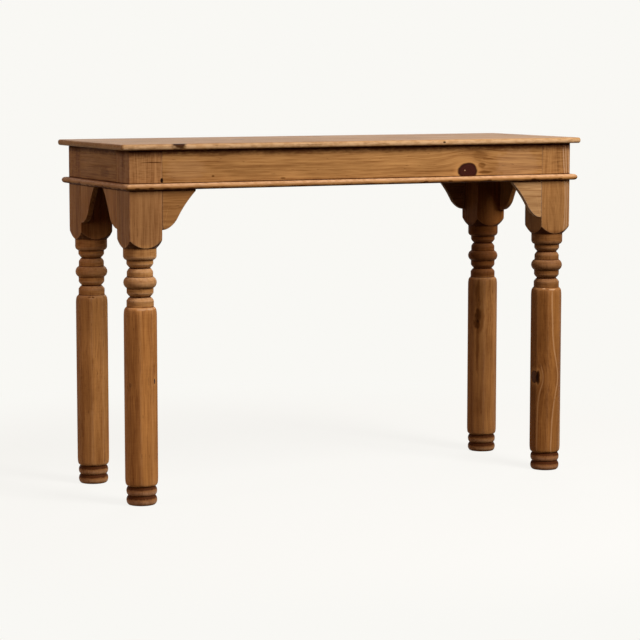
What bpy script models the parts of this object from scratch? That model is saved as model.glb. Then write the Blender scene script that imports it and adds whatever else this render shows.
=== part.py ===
"""Pine sofa table: turned legs, a railed frame with brackets and a bead, and a planked top.

Metres, +Z up. The origin is on the floor under the middle of the top. +X runs along the table
and the front faces -Y.
"""

import math

import bmesh
import bpy
from mathutils import Matrix, Vector

# Clearance between pieces that touch
FIT_GAP = 0.0003

# Top
TABLE_HEIGHT = 0.787
TOP_LENGTH = 1.149
TOP_DEPTH = 0.406
TOP_THICKNESS = 0.013
TOP_CORNER_RADIUS = 0.0065
TOP_NOSE_RADIUS = 0.0055
END_OVERHANG = 0.022
SIDE_OVERHANG = 0.015
PLANK_NAMES = ("front", "middle", "back")

# Frame
POST_WIDTH = 0.076
POST_EDGE_EASE = 0.0012
RAIL_HEIGHT = 0.0855
RAIL_THICKNESS = 0.019
TENON_THICKNESS = 0.008
TENON_LENGTH = 0.028
TENON_SHOULDER = 0.012

# Bead moulding round the frame
BEAD_HEIGHT = 0.0135
BEAD_PROJECTION = 0.013

# Brackets under the rails
FRONT_BRACKET_LENGTH = 0.0785
FRONT_BRACKET_SWELL = 0.0368
END_BRACKET_LENGTH = 0.082
END_BRACKET_SWELL = 0.0445
BRACKET_HEIGHT = 0.0865
BRACKET_THICKNESS = 0.013
BRACKET_TIP = 0.0035
BRACKET_TIP_SLOPE = math.radians(46)
BRACKET_SWELL_DROP = 0.0595
BRACKET_SWELL_SLOPE = math.radians(62)
BRACKET_EDGE_EASE = 0.001

# Turned neck of the leg, from the block downwards
BLOCK_BELOW_BRACKET = 0.021
POMMEL_HEIGHT = 0.019
POMMEL_BULGE = 0.0006
CAP_RADIUS = 0.0364
CAP_HEIGHT = 0.0255
CAP_ROUNDING = 0.0085
FILLET_RADIUS = 0.0292
UPPER_FILLET_HEIGHT = 0.0085
NECK_RADIUS = 0.0222
NECK_HEIGHT = 0.0168
NECK_BULGE = 0.0012
RING_RADIUS = 0.0285
RING_HEIGHT = 0.011
BULB_RADIUS = 0.0362
BULB_HEIGHT = 0.0245
LOWER_FILLET_HEIGHT = 0.0105
COLLAR_RADIUS = 0.0297
COLLAR_HEIGHT = 0.0135

# Eight-sided shaft and foot of the leg
SHAFT_ACROSS_FLATS = 0.0694
SHAFT_EDGE_EASE = 0.003
SHOULDER_HEIGHT = 0.0115
SHOULDER_BULGE = 0.0012
HEEL_HEIGHT = 0.0097
HEEL_BULGE = 0.0015
FOOT_BEAD_RADIUS = 0.0343
FOOT_BEAD_HEIGHT = 0.0204
FOOT_GROOVE_RADIUS = 0.0293

# Cleats and bearers that carry the top
CLEAT_WIDTH = 0.022
CLEAT_HEIGHT = 0.022
BEARER_WIDTH = 0.045
BEARER_OFFSET = 0.190
BEARER_HOUSING = 0.010

# Screws
SCREW_HEAD_RADIUS = 0.004
SCREW_HEAD_HEIGHT = 0.0025
SCREW_SHANK_RADIUS = 0.002
SCREW_TIP = 0.005
TOP_SCREW_BITE = 0.009
RAIL_SCREW_BITE = 0.013
LONG_CLEAT_SCREW_INSET = 0.080
END_CLEAT_SCREW_INSET = 0.025

# Facets of round shapes
LEG_SIDES = 24
SCREW_SIDES = 8
CORNER_STEPS = 4
NOSE_STEPS = 2
BEAD_STEPS = 8
BULB_STEPS = 5
LIP_STEPS = 2
CURVE_STEPS = 7

# A turning keeps this much outside the corners of flat sides that it leaves alone
TURNING_MARGIN = 1.03

# Finishes: colour, roughness, metallic
WAXED_PINE = ((0.37, 0.18, 0.065), 0.42, 0.0)
RAW_PINE = ((0.52, 0.33, 0.16), 0.6, 0.0)
ZINC_STEEL = ((0.48, 0.46, 0.42), 0.35, 1.0)

# Levels and lengths that follow from the sizes above
FRAME_LENGTH = TOP_LENGTH - 2 * END_OVERHANG
FRAME_DEPTH = TOP_DEPTH - 2 * SIDE_OVERHANG
FRAME_TOP = TABLE_HEIGHT - TOP_THICKNESS - FIT_GAP
RAIL_BOTTOM = FRAME_TOP - RAIL_HEIGHT
BRACKET_TOP = RAIL_BOTTOM - FIT_GAP
CLEAT_BOTTOM = FRAME_TOP - CLEAT_HEIGHT
TENON_INSET = (RAIL_THICKNESS - TENON_THICKNESS) / 2
BLOCK_BOTTOM = BRACKET_TOP - BRACKET_HEIGHT - BLOCK_BELOW_BRACKET
CAP_BOTTOM = BLOCK_BOTTOM - POMMEL_HEIGHT - CAP_HEIGHT
RING_BOTTOM = CAP_BOTTOM - UPPER_FILLET_HEIGHT - NECK_HEIGHT - RING_HEIGHT
COLLAR_TOP = RING_BOTTOM - BULB_HEIGHT - LOWER_FILLET_HEIGHT - NECK_HEIGHT
PLANK_WIDTH = TOP_DEPTH / len(PLANK_NAMES)
SHAFT_CORNER = SHAFT_ACROSS_FLATS / 2 / math.cos(math.pi / 8)
QUARTER_TURN = math.pi / 2


class Side:
    """One side of the frame. Its pieces are laid out as on the front and turned about the middle."""

    def __init__(self, name, quarter_turns, ends):
        self.name = name
        self.turn = quarter_turns * QUARTER_TURN
        self.ends = ends
        is_long = quarter_turns % 2 == 0
        self.length = FRAME_LENGTH if is_long else FRAME_DEPTH
        self.reach = (FRAME_DEPTH if is_long else FRAME_LENGTH) / 2
        self.bracket_length = FRONT_BRACKET_LENGTH if is_long else END_BRACKET_LENGTH
        self.bracket_swell = FRONT_BRACKET_SWELL if is_long else END_BRACKET_SWELL
        self.inner_half = self.length / 2 - POST_WIDTH


SIDES = (
    Side("front", 0, ("left", "right")),
    Side("right", 1, ("front", "back")),
    Side("back", 2, ("right", "left")),
    Side("left", 3, ("back", "front")),
)


def clear_scene():
    """Removes every object, so that only this table is in the file."""
    for item in list(bpy.data.objects):
        bpy.data.objects.remove(item, do_unlink=True)


def new_collection(name, hidden):
    """A collection in the scene, hidden in renders when it holds cutters."""
    collection = bpy.data.collections.new(name)
    collection.hide_render = hidden
    bpy.context.scene.collection.children.link(collection)
    return collection


def new_object(name, data, collection):
    """An object in its collection. A cutter shows as a wire and never renders."""
    item = bpy.data.objects.new(name, data)
    collection.objects.link(item)
    if collection.hide_render:
        item.hide_render = True
        item.display_type = "WIRE"
    return item


def box(name, low, high, collection):
    """A box between two corners, from a cube."""
    low = Vector(low)
    high = Vector(high)
    place = Matrix.Translation((low + high) / 2) @ Matrix.Diagonal((*(high - low), 1))
    mesh = bpy.data.meshes.new(name)
    shape = bmesh.new()
    bmesh.ops.create_cube(shape, size=1, matrix=place)
    shape.to_mesh(mesh)
    shape.free()
    return new_object(name, mesh, collection)


def boolean(item, tool, operation):
    """Cuts, joins or trims a mesh object with another."""
    step = item.modifiers.new(operation.lower() + " " + tool.name, "BOOLEAN")
    step.operation = operation
    step.object = tool
    step.solver = "EXACT"


def bevel(item, width, segments, least_angle):
    """Eases the edges of a mesh object that are sharper than an angle."""
    step = item.modifiers.new("eased edges", "BEVEL")
    step.width = width
    step.segments = segments
    step.limit_method = "ANGLE"
    step.angle_limit = least_angle


def finished_mesh(item, name):
    """The mesh of an object with its modifiers or curve settings worked out, its doubles merged."""
    bpy.context.view_layer.update()
    graph = bpy.context.evaluated_depsgraph_get()
    mesh = bpy.data.meshes.new_from_object(item.evaluated_get(graph))
    mesh.name = name
    shape = bmesh.new()
    shape.from_mesh(mesh)
    bmesh.ops.remove_doubles(shape, verts=shape.verts, dist=1e-6)
    shape.to_mesh(mesh)
    shape.free()
    return mesh


def plate(name, points, handles, thickness, collection):
    """A flat outline given thickness: a 2D curve, made a mesh. Handles, if any, make it a Bezier."""
    curve = bpy.data.curves.new(name, "CURVE")
    curve.dimensions = "2D"
    curve.fill_mode = "BOTH"
    curve.extrude = thickness / 2
    curve.resolution_u = CURVE_STEPS
    spline = curve.splines.new("BEZIER" if handles else "POLY")
    if handles:
        spline.bezier_points.add(len(points) - 1)
        for knot, point, (before, after) in zip(spline.bezier_points, points, handles):
            knot.co = (*point, 0)
            knot.handle_left_type = knot.handle_right_type = "FREE"
            knot.handle_left = (*before, 0)
            knot.handle_right = (*after, 0)
    else:
        spline.points.add(len(points) - 1)
        for knot, point in zip(spline.points, points):
            knot.co = (*point, 0, 1)
    spline.use_cyclic_u = True
    outline = new_object(name + " outline", curve, collection)
    item = new_object(name, finished_mesh(outline, name), collection)
    item.matrix_world = outline.matrix_world
    bpy.data.objects.remove(outline)
    bpy.data.curves.remove(curve)
    return item


def arc(start, end, bulge, steps):
    """Points after start on a round arc to end, whose middle stands out from the chord by bulge.

    A positive bulge is on the left of the way from start to end.
    """
    start = Vector(start)
    end = Vector(end)
    along = (end - start).normalized()
    across = Vector((-along.y, along.x))
    half_chord = (end - start).length / 2
    radius = (half_chord**2 + bulge**2) / (2 * bulge)
    half_angle = 2 * math.atan(bulge / half_chord)
    centre = (start + end) / 2 + across * (bulge - radius)
    angles = [half_angle * (2 * i / steps - 1) for i in range(1, steps + 1)]
    return [tuple(centre + radius * (across * math.cos(a) + along * math.sin(a))) for a in angles]


def turned(name, profile, sides, collection):
    """A turned solid: a profile of radius and height, from the top down, spun about Z."""
    mesh = bpy.data.meshes.new(name)
    edges = [(i, i + 1) for i in range(len(profile) - 1)]
    mesh.from_pydata([(radius, 0, height) for radius, height in profile], edges, [])
    item = new_object(name, mesh, collection)
    spin = item.modifiers.new("spin", "SCREW")
    spin.steps = spin.render_steps = sides
    spin.use_merge_vertices = True
    spin.merge_threshold = 1e-5
    return item


def finish(item, look, root):
    """Gives a piece its own material, shades its round faces smooth and hangs it on the root."""
    colour, roughness, metallic = look
    material = bpy.data.materials.new(item.name)
    material.use_nodes = True
    shader = material.node_tree.nodes["Principled BSDF"]
    shader.inputs["Base Color"].default_value = (*colour, 1)
    shader.inputs["Roughness"].default_value = roughness
    shader.inputs["Metallic"].default_value = metallic
    item.data.materials.clear()
    item.data.materials.append(material)
    item.data.shade_smooth()
    item.data.set_sharp_from_angle(angle=math.radians(35))
    item.parent = root


def neck_groove(upper, lower, top):
    """A V groove with rounded lips: points after (upper, top) down to (lower, top - NECK_HEIGHT)."""
    middle = (NECK_RADIUS, top - NECK_HEIGHT / 2)
    points = arc((upper, top), middle, NECK_BULGE, LIP_STEPS)
    return points + arc(middle, (lower, top - NECK_HEIGHT), NECK_BULGE, LIP_STEPS)


def leg_profile():
    """Radius and height of the turning, from the top of the block down to the floor.

    Where the block and the shaft keep their flat sides, it stays outside their corners.
    """
    block_corner = POST_WIDTH / math.sqrt(2)
    shaft_clear = TURNING_MARGIN * SHAFT_CORNER
    points = [(0, FRAME_TOP), (POST_WIDTH, FRAME_TOP), (POST_WIDTH, BLOCK_BOTTOM)]
    points.append((block_corner, BLOCK_BOTTOM))
    cap_top = (CAP_RADIUS, BLOCK_BOTTOM - POMMEL_HEIGHT)
    points += arc(points[-1], cap_top, POMMEL_BULGE, LIP_STEPS + 1)
    points.append((CAP_RADIUS, CAP_BOTTOM + CAP_ROUNDING))
    cap_bulge = (CAP_RADIUS - FILLET_RADIUS) / 4
    points += arc(points[-1], (FILLET_RADIUS, CAP_BOTTOM), cap_bulge, LIP_STEPS)
    upper_neck = CAP_BOTTOM - UPPER_FILLET_HEIGHT
    points.append((FILLET_RADIUS, upper_neck))
    points += neck_groove(FILLET_RADIUS, RING_RADIUS, upper_neck)
    points.append((RING_RADIUS, RING_BOTTOM))
    bulb_bottom = (FILLET_RADIUS, RING_BOTTOM - BULB_HEIGHT)
    bulb_bulge = BULB_RADIUS - (RING_RADIUS + FILLET_RADIUS) / 2
    points += arc(points[-1], bulb_bottom, bulb_bulge, BULB_STEPS)
    points.append((FILLET_RADIUS, COLLAR_TOP + NECK_HEIGHT))
    points += neck_groove(FILLET_RADIUS, COLLAR_RADIUS, COLLAR_TOP + NECK_HEIGHT)
    points.append((COLLAR_RADIUS, COLLAR_TOP - COLLAR_HEIGHT))
    shaft_top = (shaft_clear, COLLAR_TOP - COLLAR_HEIGHT - SHOULDER_HEIGHT)
    points += arc(points[-1], shaft_top, SHOULDER_BULGE, LIP_STEPS)
    points += [(POST_WIDTH, shaft_top[1]), (POST_WIDTH, 2 * FOOT_BEAD_HEIGHT + HEEL_HEIGHT)]
    points.append((shaft_clear, points[-1][1]))
    foot_top = (FOOT_GROOVE_RADIUS, 2 * FOOT_BEAD_HEIGHT)
    points += arc(points[-1], foot_top, HEEL_BULGE, LIP_STEPS)
    bead_bulge = FOOT_BEAD_RADIUS - FOOT_GROOVE_RADIUS
    points += arc(foot_top, (FOOT_GROOVE_RADIUS, FOOT_BEAD_HEIGHT), bead_bulge, BULB_STEPS)
    points += arc(points[-1], (FOOT_GROOVE_RADIUS, 0), bead_bulge, BULB_STEPS)
    return points + [(0, 0)]


def leg_stock(cutters):
    """The blank with its flat sides planed: a square block above an eight-sided shaft.

    The two overlap inside the collar, where the turning is slimmer than both.
    """
    overlap = COLLAR_HEIGHT / 4
    collar_middle = COLLAR_TOP - COLLAR_HEIGHT / 2
    half = POST_WIDTH / 2
    low = (-half, -half, collar_middle - overlap)
    block = box("leg block", low, (half, half, FRAME_TOP + POST_WIDTH), cutters)
    bevel(block, POST_EDGE_EASE, 1, math.radians(60))
    mesh = bpy.data.meshes.new("leg shaft")
    shape = bmesh.new()
    shaft_top = collar_middle + overlap
    shaft_height = shaft_top + POST_WIDTH
    place = Matrix.Translation((0, 0, shaft_top - shaft_height / 2))
    place = place @ Matrix.Rotation(math.pi / 8, 4, "Z")
    bmesh.ops.create_cone(
        shape, cap_ends=True, segments=8, radius1=SHAFT_CORNER, radius2=SHAFT_CORNER,
        depth=shaft_height, matrix=place,
    )
    shape.to_mesh(mesh)
    shape.free()
    shaft = new_object("leg shaft", mesh, cutters)
    bevel(shaft, SHAFT_EDGE_EASE, 2, math.radians(40))
    return block, shaft


def tenon_levels():
    """Lowest and highest level of a tenon."""
    return RAIL_BOTTOM + TENON_SHOULDER, FRAME_TOP - TENON_SHOULDER


def make_legs(parts, cutters, root):
    """Four legs from one mesh, each turned so that its mortises face its rails."""
    block, shaft = leg_stock(cutters)
    stock = new_object("leg stock", finished_mesh(block, "leg stock"), cutters)
    boolean(stock, shaft, "UNION")
    leg = turned("leg blank", leg_profile(), LEG_SIDES, cutters)
    boolean(leg, stock, "INTERSECT")
    half = POST_WIDTH / 2
    low, high = tenon_levels()
    near = TENON_INSET - half - FIT_GAP
    far = near + TENON_THICKNESS + 2 * FIT_GAP
    depth = half - TENON_LENGTH - FIT_GAP
    mortise = ((depth, near, low - FIT_GAP), (POST_WIDTH, far, high + FIT_GAP))
    boolean(leg, box("front mortise", *mortise, cutters), "DIFFERENCE")
    swapped = [(y, x, z) for x, y, z in mortise]
    boolean(leg, box("side mortise", *swapped, cutters), "DIFFERENCE")
    mesh = finished_mesh(leg, "leg")
    axis = Vector((half - FRAME_LENGTH / 2, half - FRAME_DEPTH / 2, 0))
    corners = (("front_left", 1, 1), ("front_right", -1, 1), ("back_right", -1, -1), ("back_left", 1, -1))
    for quarter, (name, across, along) in enumerate(corners):
        item = new_object("leg_" + name, mesh.copy(), parts)
        item.location = (axis.x * across, axis.y * along, 0)
        item.rotation_euler.z = quarter * QUARTER_TURN
        finish(item, WAXED_PINE, root)


def make_rail(side, parts, cutters, root):
    """A rail flush with the blocks, with a tenon at each end."""
    half = side.inner_half - FIT_GAP
    inner = RAIL_THICKNESS - side.reach
    rail = box("rail_" + side.name, (-half, -side.reach, RAIL_BOTTOM), (half, inner, FRAME_TOP), parts)
    low, high = tenon_levels()
    tongue_half = side.inner_half + TENON_LENGTH
    tongue_face = TENON_INSET - side.reach
    tongue = box(
        side.name + " tenons", (-tongue_half, tongue_face, low),
        (tongue_half, tongue_face + TENON_THICKNESS, high), cutters,
    )
    boolean(rail, tongue, "UNION")
    tongue.rotation_euler.z = rail.rotation_euler.z = side.turn
    finish(rail, WAXED_PINE, root)
    return rail


def bracket_outline(length, swell_out):
    """Knots and handles of a bracket seen from the front, post edge at x = 0 and rail at y = 0.

    From the tip the edge runs in nearly straight, steepens into a swell, and ends level at the post.
    A handle is a third of the way to the next knot.
    """
    corner = Vector((0, 0))
    heel = Vector((0, -BRACKET_HEIGHT))
    swell = Vector((swell_out, -BRACKET_SWELL_DROP))
    tip = Vector((length, -BRACKET_TIP))
    tip_top = Vector((length, 0))
    rise = Vector((math.cos(BRACKET_SWELL_SLOPE), math.sin(BRACKET_SWELL_SLOPE)))
    tip_rise = Vector((math.cos(BRACKET_TIP_SLOPE), math.sin(BRACKET_TIP_SLOPE)))
    lower = (swell - heel).length / 3
    upper = (tip - swell).length / 3
    points = [corner, heel, swell, tip, tip_top]
    handles = [
        (corner.lerp(tip_top, 1 / 3), corner.lerp(heel, 1 / 3)),
        (heel.lerp(corner, 1 / 3), heel + Vector((lower, 0))),
        (swell - rise * lower, swell + rise * upper),
        (tip - tip_rise * upper, tip.lerp(tip_top, 1 / 3)),
        (tip_top.lerp(tip, 1 / 3), tip_top.lerp(corner, 1 / 3)),
    ]
    return points, handles


def make_brackets(side, parts, root):
    """Two brackets under a rail, one against each block, flush with the outer face."""
    for end, toward_middle in zip(side.ends, (1, -1)):
        name = "bracket_" + side.name + "_" + end
        points, handles = bracket_outline(side.bracket_length, side.bracket_swell)
        item = plate(name, points, handles, BRACKET_THICKNESS, parts)
        upright = Matrix.Rotation(QUARTER_TURN, 4, "X")
        facing = Matrix.Diagonal((toward_middle, 1, 1, 1))
        start = toward_middle * (FIT_GAP - side.inner_half)
        place = Matrix.Translation((start, BRACKET_THICKNESS / 2 - side.reach, BRACKET_TOP))
        item.data.transform(place @ facing @ upright)
        if toward_middle < 0:
            item.data.flip_normals()
        bevel(item, BRACKET_EDGE_EASE, 1, math.radians(50))
        item.rotation_euler.z = side.turn
        finish(item, WAXED_PINE, root)


def make_bead(side, parts, cutters, root):
    """A half-round strip along the foot of a rail, mitred at both ends."""
    radius = BEAD_HEIGHT / 2
    flat = BEAD_PROJECTION - radius
    nose = arc((flat, 0), (flat, BEAD_HEIGHT), -radius, BEAD_STEPS)
    outline = [(FIT_GAP, BEAD_HEIGHT), (FIT_GAP, 0), (flat, 0)] + nose
    strip = side.length + 4 * BEAD_PROJECTION
    item = plate("bead_" + side.name, outline, None, strip, parts)
    lie = Matrix(((0, 0, -1, 0), (-1, 0, 0, -side.reach), (0, 1, 0, RAIL_BOTTOM), (0, 0, 0, 1)))
    item.data.transform(lie)
    item.rotation_euler.z = side.turn
    reach = 3 * BEAD_PROJECTION
    for end, hand in zip(side.ends, (-1, 1)):
        name = side.name + " " + end + " mitre"
        cutter = box(name, (-reach, -reach, -reach), (reach, reach, reach), cutters)
        slant = Matrix.Rotation(hand * QUARTER_TURN / 2, 4, "Z")
        shift = Matrix.Translation((hand * (reach - FIT_GAP / 2), 0, 0))
        corner = Matrix.Translation((hand * side.length / 2, -side.reach, RAIL_BOTTOM))
        cutter.data.transform(corner @ slant @ shift)
        cutter.rotation_euler.z = side.turn
        boolean(item, cutter, "DIFFERENCE")
    finish(item, WAXED_PINE, root)


def make_planks(parts, cutters, root):
    """The top: one slab with a rounded nose, sawn into planks."""
    half_length = TOP_LENGTH / 2
    half_depth = TOP_DEPTH / 2
    inset = TOP_CORNER_RADIUS
    outline = []
    for x, y, quarter in ((1, -1, -1), (1, 1, 0), (-1, 1, 1), (-1, -1, 2)):
        for step in range(CORNER_STEPS + 1):
            angle = (quarter + step / CORNER_STEPS) * QUARTER_TURN
            round_x = x * (half_length - inset) + inset * math.cos(angle)
            round_y = y * (half_depth - inset) + inset * math.sin(angle)
            outline.append((round_x, round_y))
    slab = plate("top slab", outline, None, TOP_THICKNESS, cutters)
    slab.data.transform(Matrix.Translation((0, 0, TABLE_HEIGHT - TOP_THICKNESS / 2)))
    bevel(slab, TOP_NOSE_RADIUS, NOSE_STEPS, math.radians(60))
    planks = []
    for index, name in enumerate(PLANK_NAMES):
        low = (-TOP_LENGTH, index * PLANK_WIDTH - half_depth + FIT_GAP / 2, 0)
        high = (TOP_LENGTH, (index + 1) * PLANK_WIDTH - half_depth - FIT_GAP / 2, 2 * TABLE_HEIGHT)
        if index == 0:
            low = (-TOP_LENGTH, -TOP_DEPTH, 0)
        if index == len(PLANK_NAMES) - 1:
            high = (TOP_LENGTH, TOP_DEPTH, 2 * TABLE_HEIGHT)
        item = new_object("top_plank_" + name, finished_mesh(slab, name), parts)
        boolean(item, box(name + " plank width", low, high, cutters), "INTERSECT")
        finish(item, WAXED_PINE, root)
        planks.append(item)
    return planks


def plank_middle(index):
    """Distance from the middle of the table to the middle of a plank."""
    return (index + 0.5) * PLANK_WIDTH - TOP_DEPTH / 2


def screw_profile(length, gap):
    """A countersunk screw with its head at zero, pointing up, or its hole when there is a gap."""
    shank = SCREW_SHANK_RADIUS + gap
    head = SCREW_HEAD_RADIUS + gap
    mouth = [(head, -SCREW_HEAD_HEIGHT), (0, -SCREW_HEAD_HEIGHT)] if gap else [(0, 0)]
    return [(0, length + gap), (shank, length - SCREW_TIP), (shank, SCREW_HEAD_HEIGHT), (head, 0)] + mouth


def make_screw(name, length, place, pieces, parts, cutters, root):
    """A screw at a place, and its hole through the pieces that it holds together."""
    item = turned(name, screw_profile(length, 0), SCREW_SIDES, parts)
    item.matrix_world = place
    finish(item, ZINC_STEEL, root)
    hole = turned(name + " hole", screw_profile(length, FIT_GAP), SCREW_SIDES, cutters)
    hole.matrix_world = place
    for piece in pieces:
        boolean(piece, hole, "DIFFERENCE")


def make_cleat(side, rail, parts, cutters, root):
    """A cleat along the inside of a rail, between the blocks, and the screws into the rail."""
    outer = RAIL_THICKNESS + FIT_GAP - side.reach
    half = side.inner_half - FIT_GAP
    low = (-half, outer, CLEAT_BOTTOM)
    cleat = box("cleat_" + side.name, low, (half, outer + CLEAT_WIDTH, FRAME_TOP), parts)
    cleat.rotation_euler.z = side.turn
    if side.turn % math.pi:
        stations = [END_CLEAT_SCREW_INSET - half, half - END_CLEAT_SCREW_INSET]
    else:
        near = BEARER_OFFSET / 2
        far = (BEARER_OFFSET + half - LONG_CLEAT_SCREW_INSET) / 2
        stations = [-far, -near, near, far]
    level = CLEAT_BOTTOM + CLEAT_HEIGHT / 2
    length = CLEAT_WIDTH + FIT_GAP + RAIL_SCREW_BITE
    for number, station in enumerate(stations, 1):
        place = Matrix.Rotation(side.turn, 4, "Z")
        place = place @ Matrix.Translation((station, outer + CLEAT_WIDTH, level))
        place = place @ Matrix.Rotation(QUARTER_TURN, 4, "X")
        name = "rail_screw_" + side.name + "_" + str(number)
        make_screw(name, length, place, (cleat, rail), parts, cutters, root)
    finish(cleat, RAW_PINE, root)
    return cleat


def make_bearers(cleats, planks, parts, cutters, root):
    """Two cross battens housed in the long cleats, screwed to the inner planks."""
    inner = FRAME_DEPTH / 2 - RAIL_THICKNESS - FIT_GAP - CLEAT_WIDTH
    end = inner + BEARER_HOUSING
    length = CLEAT_HEIGHT + FIT_GAP + TOP_SCREW_BITE
    for name, hand in (("left", -1), ("right", 1)):
        middle = hand * BEARER_OFFSET
        half = BEARER_WIDTH / 2
        low = (middle - half, -end + FIT_GAP, CLEAT_BOTTOM)
        high = (middle + half, end - FIT_GAP, FRAME_TOP)
        bearer = box("bearer_" + name, low, high, parts)
        housing = box(
            name + " housing", (middle - half - FIT_GAP, -end, CLEAT_BOTTOM - CLEAT_HEIGHT),
            (middle + half + FIT_GAP, end, FRAME_TOP + CLEAT_HEIGHT), cutters,
        )
        for side_name in ("front", "back"):
            boolean(cleats[side_name], housing, "DIFFERENCE")
        for index in range(1, len(PLANK_NAMES) - 1):
            place = Matrix.Translation((middle, plank_middle(index), CLEAT_BOTTOM))
            screw = "top_screw_bearer_" + name + "_" + str(index)
            make_screw(screw, length, place, (bearer, planks[index]), parts, cutters, root)
        finish(bearer, RAW_PINE, root)


def make_top_screws(cleats, planks, parts, cutters, root):
    """Screws up through the cleats into the planks above them."""
    length = CLEAT_HEIGHT + FIT_GAP + TOP_SCREW_BITE
    from_edge = RAIL_THICKNESS + FIT_GAP + CLEAT_WIDTH / 2
    end_station = FRAME_LENGTH / 2 - POST_WIDTH - FIT_GAP - LONG_CLEAT_SCREW_INSET
    across = FRAME_DEPTH / 2 - from_edge
    along = FRAME_LENGTH / 2 - from_edge
    middle = len(PLANK_NAMES) // 2
    places = []
    for side_name, hand, plank in (("front", -1, planks[0]), ("back", 1, planks[-1])):
        for number, station in enumerate((-end_station, 0, end_station), 1):
            places.append((side_name, number, (station, hand * across), plank))
    for side_name, hand in (("left", -1), ("right", 1)):
        places.append((side_name, 1, (hand * along, plank_middle(middle)), planks[middle]))
    for side_name, number, (x, y), plank in places:
        place = Matrix.Translation((x, y, CLEAT_BOTTOM))
        name = "top_screw_" + side_name + "_" + str(number)
        make_screw(name, length, place, (cleats[side_name], plank), parts, cutters, root)


def main():
    clear_scene()
    parts = new_collection("sofa_table", False)
    cutters = new_collection("cutters", True)
    root = new_object("table", None, parts)
    make_legs(parts, cutters, root)
    cleats = {}
    for side in SIDES:
        rail = make_rail(side, parts, cutters, root)
        make_brackets(side, parts, root)
        make_bead(side, parts, cutters, root)
        cleats[side.name] = make_cleat(side, rail, parts, cutters, root)
    planks = make_planks(parts, cutters, root)
    make_bearers(cleats, planks, parts, cutters, root)
    make_top_screws(cleats, planks, parts, cutters, root)


main()
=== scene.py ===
"""Looks of the pine sofa table: turned legs, a railed frame with brackets and a bead, and a planked top.

Metres, +Z up, the front faces -Y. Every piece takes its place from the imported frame.
"""

import math
from collections import namedtuple
from functools import partial

import bmesh
import bpy
import numpy as np
from bpy.props import FloatProperty, FloatVectorProperty, PointerProperty
from bpy.types import Operator, Panel, PropertyGroup
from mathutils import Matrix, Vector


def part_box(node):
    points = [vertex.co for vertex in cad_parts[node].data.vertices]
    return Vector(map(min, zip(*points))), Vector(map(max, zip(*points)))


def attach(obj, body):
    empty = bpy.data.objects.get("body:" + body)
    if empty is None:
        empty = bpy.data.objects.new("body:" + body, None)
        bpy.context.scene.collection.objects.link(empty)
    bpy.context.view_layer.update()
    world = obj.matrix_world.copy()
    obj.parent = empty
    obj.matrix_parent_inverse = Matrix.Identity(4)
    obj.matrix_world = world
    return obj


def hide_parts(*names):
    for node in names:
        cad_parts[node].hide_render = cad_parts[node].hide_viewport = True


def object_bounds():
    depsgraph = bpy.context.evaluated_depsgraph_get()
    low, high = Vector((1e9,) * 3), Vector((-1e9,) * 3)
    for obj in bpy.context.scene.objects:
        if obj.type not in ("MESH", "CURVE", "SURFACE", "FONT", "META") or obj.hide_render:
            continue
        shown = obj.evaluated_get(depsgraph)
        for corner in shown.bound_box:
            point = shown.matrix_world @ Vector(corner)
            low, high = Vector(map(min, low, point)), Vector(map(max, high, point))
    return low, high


bl_info = {
    "name": "Sofa Table Looks",
    "version": (1, 0, 0),
    "blender": (4, 5, 0),
    "location": "3D View > Sidebar > Sofa Table",
    "description": "Dresses a pine sofa table with turned legs, shaped brackets and a planked top",
    "category": "Object",
}

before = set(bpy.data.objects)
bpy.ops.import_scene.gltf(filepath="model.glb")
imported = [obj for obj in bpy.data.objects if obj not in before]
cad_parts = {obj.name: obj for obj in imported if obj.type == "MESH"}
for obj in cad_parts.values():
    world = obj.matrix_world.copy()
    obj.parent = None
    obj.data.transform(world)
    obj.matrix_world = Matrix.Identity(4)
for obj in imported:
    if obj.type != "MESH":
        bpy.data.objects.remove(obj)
CAD_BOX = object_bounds()

BODY = "root"
SIDES = ("front", "right", "back", "left")
LONG_SIDES = ("front", "back")
CORNERS = ("front_left", "front_right", "back_right", "back_left")
PLANKS = ("front", "middle", "back")
LAMP_PARTS = ("power", "width", "height", "distance", "turn", "rise")

# How finely surfaces are divided
PROFILE_STEP = 0.0002
CUT_STEPS = 8
BULB_STEPS = 24
FOOT_STEPS = 20
LEG_ROWS = 340
LEG_COLUMNS = 120
BLOCK_EDGE_ANGLES = np.radians([-2.2, -1.3, -0.7, -0.25, 0.25, 0.7, 1.3, 2.2])
SHAFT_EDGE_ANGLES = np.radians([-1.4, 0.0, 1.4])
EASE_STEPS = 6
FACE_SHARES = np.array([0.0, 0.3, 0.6, 0.85, 0.96, 0.992])
OGEE_STEPS = 28
EDGE_STEPS = 7
PLANK_STEPS = 90
BEAD_STEPS = 140
BEAD_ROUND_STEPS = 16
BESIDE_CORNER = 0.0008
MERGE_DISTANCE = 1e-6

# A leg's rows: their gaps where the turning runs outside the flat sides, where it shows and where it cuts
# them, and the bend in radians that takes one more row
HIDDEN_GAP = 0.012
TURNED_GAP = 0.0022
CUT_GAP = 0.0012
BEND_PER_ROW = 0.16

# Arrises of the legs: a higher power gives a sharper edge. A radius never falls to 0, which has no power.
BLOCK_POWER = 64
SHAFT_POWER = 18
ON_AXIS = 1e-7

# Depths at which a leg's hollow begins to hold wax and is full of it, heights at which a ridge begins to be
# rubbed and is bare, and the steps of the profile that both are measured over
WAX_DEPTHS = (0.00024, 0.00144)
RUB_HEIGHTS = (0.000225, 0.001125)
PATINA_STEPS = 20

# Gloss and roughness of the wax, and roughness of sawn wood and of the polish on the top
SHEEN = 0.03
WAX_ROUGHNESS = 0.5
SAWN_ROUGHNESS = 0.68
POLISH_ROUGHNESS = 0.3


def number(name, default, description, **kind):
    """A number that a user can change."""
    return FloatProperty(name=name, default=default, description=description, **kind)


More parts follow.
